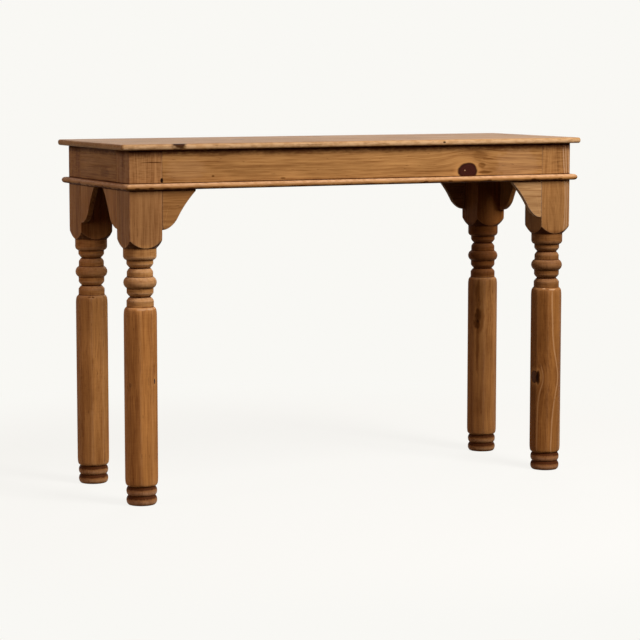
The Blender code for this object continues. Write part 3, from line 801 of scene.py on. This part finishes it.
# Grain of a piece: the axes along, across and through it, the place of the pith across and through, the
# width of a year ring, a number that makes it unlike the others, and its figure. Then its tones from its
# foot up, its knots and marks, the heights darkened with their reach and strength (painted shadow under
# the top, dark wax and painted shade at the bead), the heights where tool marks begin to cross the grain
# and are strongest, its pale lines and the height of a polished face.
Grain = namedtuple(
    "Grain", "axes pith ring seed figure tones knots marks soil chatter pale_lines polish",
    defaults=(BOARD_FIGURE, ((1.0, 1.0, 1.0),), (), (), (), None, (), None),
)

# Heights where a leg takes the tone of its shaft, of its neck and of its block, and how soon
TONE_HEIGHTS = (0.034, 0.432, 0.565)
TONE_FADE = 0.009


def bent_by_knot(knot, along, across, depth):
    """Grain places pushed aside by a knot, and the distance from the knot's heart in half widths.

    At t across and a along from its heart, with q^2 = t^2 + (a / stretch)^2, the grain that runs there
    would run at t q^2 / (q^2 + flow^2) without the knot, so it flows round it.
    """
    facing = knot.facing or 0.0
    turn_c = math.cos(facing)
    turn_s = math.sin(facing)
    from_across = across - knot.across
    from_depth = depth - knot.depth
    aside = from_across * turn_c + from_depth * turn_s
    ahead = (along - knot.along) / knot.stretch
    square = aside * aside + ahead * ahead
    push = aside * (knot.flow**2 / (square + knot.flow**2))
    distance = square.root() / knot.radius
    if knot.facing is not None:
        outer = from_depth * turn_c - from_across * turn_s
        push = push * outer.between(-0.085, -0.035)
        distance = distance + outer.between(-0.008, -0.03) * 9
    return across - push * turn_c, depth - push * turn_s, distance


def scaled(colour, factor):
    """A colour made brighter or darker."""
    return tuple(factor * c for c in colour)


def with_knot(graph, colour, knot, distance, pale, colours):
    """A colour with a knot on it, and where its heart is: a ringed heart, a dark rim and a pale halo."""
    heart = distance.between(1.1, 0.88) * knot.dark
    halo = distance.between(1.75, 1.1) * (1 - heart) * (0.6 * math.sqrt(knot.dark))
    rings = (distance * 4.5).part().between(0.2, 0.9)
    wood = graph.mixed(rings * 0.35, colours.knot, scaled(colours.knot, 1.9))
    wood = graph.mixed(distance.between(0.72, 0.95) * 0.7, wood, scaled(colours.knot, 0.4))
    colour = graph.mixed(halo, colour, scaled(pale, 1.12))
    return graph.mixed(heart, colour, wood), heart


def with_mark(graph, colour, mark, place, ragged, colours):
    """A colour with a dent, stain or rubbed place on it: an ellipsoid with a ragged edge."""
    x, y, z = ((axis - middle) / half for axis, middle, half in zip(place, mark.middle, mark.half))
    gone = (x * x + y * y + z * z).root() + ragged
    there = gone.between(1.2, 0.65)
    if mark.rubbed:
        return graph.mixed(there * mark.cover, colour, colours.rubbed)
    left = tuple((1 - mark.cover) ** power for power in (1.0, 1.25, 1.6))
    return graph.mixed(there, colour, left, "MULTIPLY")


def from_centre(across, depth, centre):
    """Distance from a line along the grain."""
    to_across = across - centre[0]
    to_depth = depth - centre[1]
    return (to_across * to_across + to_depth * to_depth).root()


def pine(name, grain, colours, sawn=False):
    """Pine with year rings, hairlines and mottling, knots and marks, rubbed edges with painted highlights,
    and dark wax with painted shade.

    Rings are steps of the distance from the pith. Streaks and hairlines are noise drawn out along the
    grain. All follow the grain where it bends round a knot. It is stained and waxed on every piece that
    shows, and sawn without a finish inside the frame.
    """
    pale = colours.bare_earlywood if sawn else colours.earlywood
    dark = colours.bare_latewood if sawn else colours.latewood
    material, graph = new_material(name)
    coordinates = graph.object_place()
    place = [graph.node("SeparateXYZ", None, {0: coordinates}, axis) for axis in "XYZ"]
    along, across, depth = (place["XYZ".index(axis)] for axis in grain.axes)
    shift = grain.seed * 0.731
    slow = graph.node("CombineXYZ", None, {0: along * 0.3 + shift, 1: across + shift, 2: depth + 2 * shift})
    bend = graph.noise(slow, 7.0) - 0.5
    ripple = graph.noise(slow, 55.0) - 0.5
    chips = graph.noise((along * 0.45 + shift, across, depth), 170.0)
    patch = graph.noise((along * 0.5 + shift, across, depth - shift), 20.0, 3.0)
    wobble = graph.noise((along * 0.7 + shift, across, depth), 75.0, 3.0) - 0.5
    distances = []
    for knot in grain.knots:
        across, depth, distance = bent_by_knot(knot, along, across, depth)
        distances.append(distance + wobble * (0.006 / knot.radius) + (patch - 0.5) * 0.4)

    # Figure of the wood
    growth = from_centre(across, depth, grain.pith)
    across = across + bend * 0.02 + ripple * 0.0013
    depth = depth + bend * 0.012
    from_pith = from_centre(across, depth, grain.pith)
    uneven = graph.noise((from_pith, shift, along * 0.02), 60.0, 1.0)
    year = (from_pith / grain.ring + uneven * 1.6).part()
    line = year.between(0.25, 0.88) * year.between(1.0, 0.9)
    shown = grain.figure
    streak = graph.noise((along * 0.04 + shift, across, depth), shown.streaks_per_metre, 3.0, 0.6)
    hair = graph.noise((along * 0.04, across + shift, depth), 300.0, 2.0, 0.6)
    fibre = graph.noise((along * 0.02, across, depth + shift), 1100.0, 2.0, 0.6)
    broad = graph.noise((along * 0.06 - shift, across, depth + shift), 24.0)
    figure = (line - 0.3) * (streak + 0.5) * shown.rings + (streak - 0.5) * shown.streaks
    figure = figure + (hair - 0.5) * shown.hairs + (broad - 0.5) * shown.bands + (fibre - 0.5) * 0.5
    if grain.chatter:
        turned = graph.attribute("turned")
        cross = graph.noise((along, across * 0.14 + shift, depth * 0.14), 300.0, 3.0, 0.6) - 0.5
        tooled = turned * 0.8 + along.between(*grain.chatter) * patch.between(0.3, 0.6) * 0.9 + 0.2
        figure = figure * (1 - turned * 0.6) + cross * tooled
    colour = graph.mixed((0.42 + figure).between(0.0, 1.0), pale, dark)
    for pale_line in grain.pale_lines:
        there = (growth - pale_line.at + ripple * 0.0015).size().between(0.0014, 0.0004)
        there = there * along.between(pale_line.low, pale_line.low + 0.02)
        there = there * along.between(pale_line.high, pale_line.high - 0.02) * patch.between(0.15, 0.4)
        colour = graph.mixed(there * pale_line.strength, colour, colours.rubbed)

    # Mottling, rubbed edges and painted highlights, and tones, some of them darkened as painted shade
    mottle = graph.mixed(patch.between(0.3, 0.72), (1.06, 1.06, 1.06), (0.88, 0.86, 0.83))
    colour = graph.mixed(1.0, colour, mottle, "MULTIPLY")
    # Wear paints rubbed edges, and painted highlights where the turnings and the bead face up
    wear = graph.attribute("wear") * (0.5 + chips.between(0.35, 0.62) * 0.5)
    colour = graph.mixed(wear * 0.85, colour, colours.rubbed)
    tone, *higher = grain.tones
    for start, value in zip(TONE_HEIGHTS, higher):
        tone = graph.mixed(along.between(start, start + TONE_FADE), tone, value)
    colour = graph.mixed(1.0, colour, tone, "MULTIPLY")

    # Knots, flecks, dark wax with painted shade, and marks
    hollow = 0.0
    for knot, distance in zip(grain.knots, distances):
        colour, heart = with_knot(graph, colour, knot, distance, pale, colours)
        hollow = heart + hollow
    fleck = graph.noise((along * 0.16 + shift, across, depth), 330.0, 1.0).between(0.7, 0.78)
    colour = graph.mixed(fleck * 0.45, colour, colours.wax)
    # Darkening by dark wax and painted shade: the mesh's mask, then painted shadow under the top and painted
    # shade at the bead
    wax_and_shade = graph.attribute("grime")
    for height, reach, strength in grain.soil:
        wax_and_shade = wax_and_shade.most(((place[2] - height).size() / reach).between(1.0, 0.0) * strength)
    wax_and_shade = (wax_and_shade * (0.3 + chips * 0.7 + patch * 0.7)).between(0.2, 0.85)
    colour = graph.mixed(wax_and_shade * 0.92, colour, colours.wax)
    ragged = wobble * 0.9 + (chips - 0.5) * 0.6
    for mark in grain.marks:
        colour = with_mark(graph, colour, mark, place, ragged, colours)

    gloss = (SAWN_ROUGHNESS if sawn else WAX_ROUGHNESS) + line * 0.06 + (patch - 0.5) * 0.16
    gloss = gloss + wax_and_shade * 0.12 - wear * 0.08 - hollow * 0.1
    height = line * 0.35 + hair * 0.5 + fibre * 0.5 + streak * 0.3 + chips * 0.25 - hollow * 0.3
    relief = graph.node("Bump", None, {"Strength": 0.35, "Distance": 0.0006, "Height": height})
    sockets = {"Base Color": colour, "Roughness": gloss, "Normal": relief, "Specular IOR Level": SHEEN}
    if grain.polish:
        face = place[2].between(grain.polish - 0.0025, grain.polish - 0.0003)
        sockets["Coat Weight"] = face * (0.62 - patch * 0.25 - broad * 0.3)
        sockets["Coat Roughness"] = POLISH_ROUGHNESS
    shader = graph.node("BsdfPrincipled", None, sockets)
    graph.node("OutputMaterial", None, {"Surface": shader})
    return material


def zinc_plate(name, colours):
    """Zinc plating with a fine crystalline mottle and dull patches."""
    material, graph = new_material(name)
    place = graph.object_place()
    mottle = graph.noise(place, 900.0, 3.0)
    dull = graph.noise(place, 260.0, 2.0)
    colour = graph.mixed(mottle.between(0.3, 0.7), colours.zinc, scaled(colours.zinc, 0.7))
    relief = graph.node("Bump", None, {"Strength": 0.2, "Distance": 0.0001, "Height": mottle})
    sockets = {"Base Color": colour, "Metallic": 1.0, "Roughness": 0.25 + dull * 0.3, "Normal": relief}
    shader = graph.node("BsdfPrincipled", None, sockets)
    graph.node("OutputMaterial", None, {"Surface": shader})
    return material


# Grain of each piece

# Half sizes of a nick in the bead, and its height over the bead's lower edge
NICK = (0.007, 0.007, 0.003)
NICK_HEIGHT = 0.0035

# Open end of the joint between the front rail and the left leg
JOINT_SLOT = Mark((-0.4775, -0.188, 0.7085), (0.0034, 0.004, 0.0055), 0.97)

# Distance of a leg's knots from its axis
KNOT_OUT = 0.036


def shade_and_wax_lines():
    """Heights darkened, with reach and strength: painted shadow under the top, dark wax and painted shade at
    the bead.
    """
    low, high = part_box("bead_front")
    return (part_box("top_plank_front")[0].z, 0.03, 0.8), (high.z, 0.004, 1.0), (low.z, 0.006, 0.9)


def leg_grain(corner, axis):
    """Grain of a leg, upright, with the knots that the leg shows."""
    def knot(height, facing, radius, stretch, flow, dark=1.0):
        turn = math.radians(facing)
        across = axis[0] - KNOT_OUT * math.sin(turn)
        depth = axis[1] - KNOT_OUT * math.cos(turn)
        return Knot(height, across, radius, stretch, flow, depth, math.pi - turn, dark)

    knots = {
        "front_left": (knot(0.274, -36, 0.0036, 1.7, 0.008), knot(0.266, 62, 0.003, 1.6, 0.008, 0.3)),
        "front_right": (knot(0.223, 80, 0.0135, 1.2, 0.028, 0.72), knot(0.64, 8, 0.002, 3.0, 0.02, 0.0)),
        "back_right": (knot(0.336, 50, 0.0075, 1.7, 0.02, 0.12),),
        "back_left": (knot(0.21, 120, 0.005, 2.0, 0.014),),
    }
    marks = {
        "front_left": (
            JOINT_SLOT,
            Mark((-0.496, -0.188, 0.7475), (0.026, 0.006, 0.0012), 0.75),
            Mark((-0.4945, -0.1795, 0.296), (0.0022, 0.005, 0.016), 0.45),
            Mark((-0.5235, -0.183, 0.4305), (0.013, 0.01, 0.0022), 0.5, True),
            Mark((-0.5035, -0.182, 0.431), (0.0085, 0.01, 0.0022), 0.75, True),
        ),
        "front_right": (
            Mark((0.4915, -0.1785, 0.4328), (0.005, 0.008, 0.0016), 0.8, True),
            Mark((0.511, -0.184, 0.4305), (0.008, 0.008, 0.0016), 0.8, True),
            Mark((0.4842, -0.167, 0.2215), (0.0052, 0.0052, 0.0155), 0.88),
        ),
        "back_right": (
            Mark((0.4878, 0.1262, 0.342), (0.0085, 0.009, 0.017), 0.52),
            Mark((0.4865, 0.1285, 0.3185), (0.0075, 0.008, 0.012), 0.52),
            Mark((0.491, 0.123, 0.33), (0.014, 0.012, 0.034), 0.3),
            Mark((0.4876, 0.1268, 0.262), (0.0035, 0.006, 0.075), 0.36),
            Mark((0.4885, 0.126, 0.385), (0.0055, 0.007, 0.046), 0.36),
        ),
        "back_left": (
            Mark((-0.536, 0.121, 0.235), (0.019, 0.018, 0.075), 0.17),
            Mark((-0.531, 0.1195, 0.431), (0.004, 0.006, 0.0022), 0.5),
            Mark((-0.5225, 0.117, 0.4305), (0.0032, 0.006, 0.0022), 0.6),
            Mark((-0.5265, 0.1175, 0.4275), (0.006, 0.006, 0.0012), 0.5, True),
        ),
    }
    pith = {
        "front_left": (0.05, 0.03), "front_right": (-0.045, 0.035),
        "back_right": (0.04, 0.05), "back_left": (-0.05, 0.04),
    }
    tones = {
        "front_left": ((0.95, 0.88, 0.92), (1.25, 1.14, 0.98), (1.22, 1.27, 1.35), (0.95, 0.97, 1.12)),
        "front_right": ((0.75, 0.66, 0.66), (0.77, 0.66, 0.52), (0.62, 0.56, 0.53), (0.9, 0.91, 0.95)),
        # The back right leg's neck and block tones are darkened as painted shade under the frame
        "back_right": ((0.85, 0.78, 0.72), (1.07, 1.0, 0.92), (0.56, 0.42, 0.32), (0.75, 0.58, 0.42)),
        "back_left": ((0.95, 0.88, 0.85), (1.27, 1.22, 1.14), (1.25, 1.2, 1.16), (1.05, 1.03, 1.02)),
    }
    pale_lines = {
        "front_right": (
            PaleLine(0.0794, 0.03, 0.436, 0.9),
            PaleLine(0.091, 0.03, 0.15, 0.8),
            PaleLine(0.0525, 0.03, 0.26, 0.6),
            PaleLine(0.0945, 0.56, 0.81, 0.6),
            PaleLine(0.0985, 0.56, 0.81, 0.65),
            PaleLine(0.103, 0.56, 0.81, 0.6),
        ),
    }
    off_across, off_depth = pith[corner]
    bead_low, bead_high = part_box("bead_front")
    return Grain(
        "ZXY", (axis[0] + off_across, axis[1] + off_depth), 0.0052, CORNERS.index(corner) + 3.3,
        LEG_FIGURE, tones[corner], knots[corner], marks[corner], soil=shade_and_wax_lines(),
        chatter=(bead_low.z, bead_high.z), pale_lines=pale_lines.get(corner, ()),
    )


def board_axes(side):
    """Axes along, across and through a board that lies lengthwise on a side."""
    return "XZY" if side in LONG_SIDES else "YZX"


def rail_grain(side, face):
    """Grain of a rail, lengthwise. The front one has a large knot to the right."""
    knots = {
        "front": (Knot(0.2785, 0.7135, 0.0186, 1.32, 0.026),),
        "back": (Knot(-0.18, 0.735, 0.011, 1.4, 0.016), Knot(0.31, 0.722, 0.008, 1.5, 0.012)),
        "right": (Knot(0.05, 0.74, 0.008, 1.4, 0.012),),
        "left": (),
    }
    marks = {
        "front": (
            JOINT_SLOT,
            Mark((0.322, face, 0.7105), (0.02, 0.006, 0.0035), 0.55),
            Mark((0.3145, face, 0.726), (0.0095, 0.006, 0.0065), 0.4),
            Mark((0.309, face, 0.7475), (0.022, 0.006, 0.011), 0.24),
            Mark((0.331, face, 0.7405), (0.014, 0.006, 0.0028), 0.26),
            Mark((0.27, face, 0.7155), (0.0022, 0.004, 0.0018), 0.5, True),
            Mark((-0.3575, face, 0.7156), (0.0035, 0.004, 0.0022), 0.6),
            Mark((-0.19, face, 0.7077), (0.006, 0.004, 0.002), 0.5),
            Mark((0.41, face, 0.725), (0.06, 0.004, 0.04), 0.14, True),
            Mark((-0.42, face, 0.73), (0.05, 0.004, 0.025), 0.1, True),
        ),
        "left": (Mark((face, -0.04, 0.721), (0.004, 0.03, 0.011), 0.28),),
    }
    pith = (0.72, face * 0.82 if side in LONG_SIDES else face * 0.93)
    tone = (1.05, 1.1, 1.14) if side in LONG_SIDES else (0.96, 0.98, 0.98)
    return Grain(
        board_axes(side), pith, 0.0062, SIDES.index(side) + 11.7, tones=(tone,),
        knots=knots[side], marks=marks.get(side, ()), soil=shade_and_wax_lines(),
    )


def bracket_grain(side, end, face):
    """Grain of a bracket: lengthwise on the long sides, upright at the ends."""
    seed = SIDES.index(side) * 2 + (end in ("right", "back")) + 21.1
    if side in LONG_SIDES:
        tone = (0.95, 0.95, 0.95) if end == "left" else (1.16, 1.38, 1.85)
        return Grain("XZY", (0.60, face * 0.9), 0.009, seed, BRACKET_FIGURE, (tone,), soil=shade_and_wax_lines())
    tone = (1.14, 1.12, 1.12) if side == "left" else (0.9, 0.8, 0.7)
    return Grain("ZYX", (0.02, face * 0.95), 0.007, seed, LEG_FIGURE, (tone,), soil=shade_and_wax_lines())


def bead_grain(side, face):
    """Grain of a bead, lengthwise, with dark nicks low on its round face."""
    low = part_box("bead_" + side)[0]
    height = low.z + NICK_HEIGHT
    nicks = {
        "front": [(x, low.y, height) for x in (-0.538, -0.506, 0.163, 0.226, 0.329, 0.447, 0.52)],
        "left": [(low.x, y, height) for y in (-0.06, 0.085)],
    }
    marks = tuple(Mark(middle, NICK, 0.6) for middle in nicks.get(side, ()))
    seed = SIDES.index(side) + 31.9
    return Grain(board_axes(side), (0.66, face * 0.9), 0.005, seed, tones=((1.1, 1.1, 1.1),), marks=marks)


def plank_grain(name):
    """Grain of a plank, lengthwise, with the knots that the nose and the face show."""
    knots = {
        "front": (Knot(0.13, -0.12, 0.01, 1.5, 0.016, dark=0.6),),
        "middle": (
            Knot(-0.21, 0.01, 0.0135, 1.3, 0.018, dark=0.85), Knot(0.36, -0.03, 0.007, 1.7, 0.012, dark=0.5),
        ),
        "back": (
            Knot(0.05, 0.13, 0.009, 1.6, 0.016, dark=0.7), Knot(-0.42, 0.16, 0.006, 1.6, 0.012, dark=0.45),
        ),
    }
    marks = {
        "front": (
            Mark((-0.441, -0.2, 0.787), (0.019, 0.012, 0.0138), 0.9),
            Mark((0.2083, -0.2025, 0.781), (0.0035, 0.005, 0.002), 0.9),
            Mark((-0.13, -0.203, 0.7805), (0.03, 0.004, 0.0008), 0.5),
            Mark((0.04, -0.203, 0.7795), (0.022, 0.004, 0.0008), 0.5),
        ),
    }
    pith_across = {"front": -0.15, "middle": 0.02, "back": 0.16}
    tones = {"front": (1.04, 1.1, 1.06), "middle": (0.93, 0.98, 0.96), "back": (1.0, 1.05, 1.04)}
    return Grain(
        "XYZ", (pith_across[name], 0.74), 0.0075, PLANKS.index(name) + 41.3, tones=(tones[name],),
        knots=knots[name], marks=marks.get(name, ()), polish=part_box("top_plank_" + name)[1].z,
    )


# Stage

def seen_directly(graph):
    """1 for rays from the camera and for reflections and refractions, 0 for other light."""
    kinds = ("Is Camera Ray", "Is Glossy Ray", "Is Transmission Ray")
    camera, glossy, transmission = (graph.node("LightPath", None, None, kind) for kind in kinds)
    return camera.most(glossy).most(transmission)


def make_floor(stage):
    """A wide floor that takes a faint shadow near the table and fades into the background."""
    reach = 30.0
    level = -0.0005
    mesh = bpy.data.meshes.new("floor")
    corners = [(x * reach, y * reach, level) for x, y in ((-1, -1), (1, -1), (1, 1), (-1, 1))]
    mesh.from_pydata(corners, [], [(0, 1, 2, 3)])
    floor = bpy.data.objects.new("floor", mesh)
    bpy.context.scene.collection.objects.link(floor)
    material, graph = new_material("pale_floor")
    distance = graph.node("VectorMath", {"operation": "LENGTH"}, {0: graph.object_place()}, "Value")
    pale = (*stage.backdrop, 1)
    dim = (*scaled(stage.backdrop, stage.floor_bounce), 1)
    shadow = stage.floor_shade * distance.between(1.6, 0.9)
    glow = graph.node("Emission", None, {"Color": pale, "Strength": 1 + 0.07 * shadow})
    shown = graph.node("BsdfDiffuse", None, {"Color": pale})
    bounce = graph.node("BsdfDiffuse", None, {"Color": dim})
    seen = graph.node("MixShader", None, {0: shadow, 1: glow, 2: shown})
    surface = graph.node("MixShader", None, {0: seen_directly(graph), 1: bounce, 2: seen})
    graph.node("OutputMaterial", None, {"Surface": surface})
    mesh.materials.append(material)


def make_world(stage):
    """The pale background as it is seen, and a dimmer fill for the light that it sheds."""
    world = bpy.data.worlds.new("studio")
    world.use_nodes = True
    bpy.context.scene.world = world
    graph = Graph(world.node_tree)
    shed = graph.node("Background", None, {"Color": (*stage.fill_colour, 1), "Strength": stage.fill})
    shown = graph.node("Background", None, {"Color": (*stage.backdrop, 1), "Strength": 1.0})
    surface = graph.node("MixShader", None, {0: seen_directly(graph), 1: shed, 2: shown})
    graph.node("OutputWorld", None, {"Surface": surface})


def make_lamp(stage, name):
    """A soft light that faces the middle of the table from a direction."""
    settings = (getattr(stage, name + "_" + part) for part in LAMP_PARTS)
    power, width, height, distance, turn, rise = settings
    light = bpy.data.lights.new(name, "AREA")
    light.energy = power
    light.shape = "RECTANGLE"
    light.size = width
    light.size_y = height
    lamp = bpy.data.objects.new(name, light)
    flat = math.cos(rise) * distance
    lamp.location = (CAD_BOX[0] + CAD_BOX[1]) / 2
    lamp.location.x += flat * math.sin(turn)
    lamp.location.y -= flat * math.cos(turn)
    lamp.location.z += math.sin(rise) * distance
    lamp.rotation_euler = (math.pi / 2 - rise, 0, turn)
    lamp.visible_camera = False
    bpy.context.scene.collection.objects.link(lamp)
    return lamp


def make_camera(stage):
    """The camera at the photograph's angle, for a square image."""
    camera = bpy.data.cameras.new("camera")
    camera.sensor_width = 36
    camera.lens = stage.camera_lens
    viewer = bpy.data.objects.new("camera", camera)
    viewer.location = stage.camera_place
    viewer.rotation_euler = (math.pi / 2 - stage.camera_dip, 0, -stage.camera_turn)
    bpy.context.scene.collection.objects.link(viewer)
    bpy.context.scene.camera = viewer


# Operators

class TABLE_OT_legs(Operator):
    """Four turned legs with square blocks and eight-sided shafts"""

    bl_idname = "sofa_table.legs"
    bl_label = "Turned Legs"

    def execute(self, context):
        scene = context.scene
        leg = scene.table_leg
        block_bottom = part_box("bracket_front_left")[0].z - leg.block_below_bracket
        for corner in CORNERS:
            node = "leg_" + corner
            low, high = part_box(node)
            axis = ((low.x + high.x) / 2, (low.y + high.y) / 2)
            surface = leg_surface(leg, axis, high.z, (high.x - low.x) / 2, block_bottom)
            wooden_piece(node, surface, leg_grain(corner, axis), scene.table_pine)
        return {"FINISHED"}


class TABLE_OT_rails(Operator):
    """Four rails between the blocks"""

    bl_idname = "sofa_table.rails"
    bl_label = "Rails"

    def execute(self, context):
        scene = context.scene
        for side in SIDES:
            surface = rail_surface(side, scene.table_frame)
            grain = rail_grain(side, outer_face(side))
            wooden_piece("rail_" + side, surface, grain, scene.table_pine)
        return {"FINISHED"}


class TABLE_OT_brackets(Operator):
    """Eight shaped brackets under the rails"""

    bl_idname = "sofa_table.brackets"
    bl_label = "Brackets"

    def execute(self, context):
        scene = context.scene
        for side in SIDES:
            for end in ("left", "right") if side in LONG_SIDES else ("front", "back"):
                surface = bracket_surface(side, end, scene.table_frame)
                grain = bracket_grain(side, end, outer_face(side))
                node = "bracket_" + side + "_" + end
                wooden_piece(node, surface, grain, scene.table_pine)
        return {"FINISHED"}


class TABLE_OT_beads(Operator):
    """The half-round bead round the frame"""

    bl_idname = "sofa_table.beads"
    bl_label = "Bead"

    def execute(self, context):
        scene = context.scene
        for index, side in enumerate(SIDES):
            surface = bead_surface(side, scene.table_frame, index + 0.37)
            grain = bead_grain(side, outer_face(side))
            wooden_piece("bead_" + side, surface, grain, scene.table_pine)
        return {"FINISHED"}


class TABLE_OT_top(Operator):
    """The three planks of the top"""

    bl_idname = "sofa_table.top"
    bl_label = "Planked Top"

    def execute(self, context):
        scene = context.scene
        for index, name in enumerate(PLANKS):
            surface = plank_surface(name, scene.table_frame, index + 0.71)
            wooden_piece("top_plank_" + name, surface, plank_grain(name), scene.table_pine)
        return {"FINISHED"}


class TABLE_OT_inside(Operator):
    """Finishes of the cleats, bearers and screws inside the frame"""

    bl_idname = "sofa_table.inside"
    bl_label = "Inside of the Frame"

    def execute(self, context):
        colours = context.scene.table_pine
        zinc = zinc_plate("zinc_plate", colours)
        for index, (name, item) in enumerate(sorted(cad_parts.items())):
            if name.startswith(("cleat_", "bearer_")):
                axes = "XYZ" if name in ("cleat_front", "cleat_back") else "YXZ"
                grain = Grain(axes, (0.03, 0.70), 0.005, index + 0.9)
                material = pine(name + "_pine", grain, colours, sawn=True)
            elif "screw" in name:
                material = zinc
            else:
                continue
            item.data.materials.clear()
            item.data.materials.append(material)
        return {"FINISHED"}


class TABLE_OT_stage(Operator):
    """Pale floor and background, soft light and the camera"""

    bl_idname = "sofa_table.stage"
    bl_label = "Stage"

    def execute(self, context):
        stage = context.scene.table_stage
        make_floor(stage)
        make_world(stage)
        make_lamp(stage, "key")
        make_lamp(stage, "side").data.color = stage.side_colour
        make_lamp(stage, "back").visible_glossy = False
        make_camera(stage)
        context.scene.view_settings.view_transform = "Standard"
        return {"FINISHED"}


class TABLE_PT_looks(Panel):
    """Sidebar panel with every step and its settings"""

    bl_idname = "TABLE_PT_looks"
    bl_label = "Sofa Table"
    bl_space_type = "VIEW_3D"
    bl_region_type = "UI"
    bl_category = "Sofa Table"

    def draw(self, context):
        for step in STEPS:
            self.layout.operator(step.bl_idname)
        for group_name in GROUPS:
            group = getattr(context.scene, group_name)
            box = self.layout.box()
            for name in group.bl_rna.properties.keys():
                if name not in ("rna_type", "name"):
                    box.prop(group, name)


GROUPS = {
    "table_leg": LegSizes, "table_frame": FrameSizes, "table_pine": PineColours, "table_stage": StageLook,
}
STEPS = (
    TABLE_OT_legs, TABLE_OT_rails, TABLE_OT_brackets, TABLE_OT_beads,
    TABLE_OT_top, TABLE_OT_inside, TABLE_OT_stage,
)
CLASSES = (*GROUPS.values(), *STEPS, TABLE_PT_looks)


def register():
    for item in CLASSES:
        bpy.utils.register_class(item)
    for name, group in GROUPS.items():
        setattr(bpy.types.Scene, name, PointerProperty(type=group))


def unregister():
    for name in GROUPS:
        delattr(bpy.types.Scene, name)
    for item in reversed(CLASSES):
        bpy.utils.unregister_class(item)


def main():
    register()
    bpy.ops.sofa_table.legs()
    bpy.ops.sofa_table.rails()
    bpy.ops.sofa_table.brackets()
    bpy.ops.sofa_table.beads()
    bpy.ops.sofa_table.top()
    bpy.ops.sofa_table.inside()
    bpy.ops.sofa_table.stage()


if __name__ == "__main__":
    main()
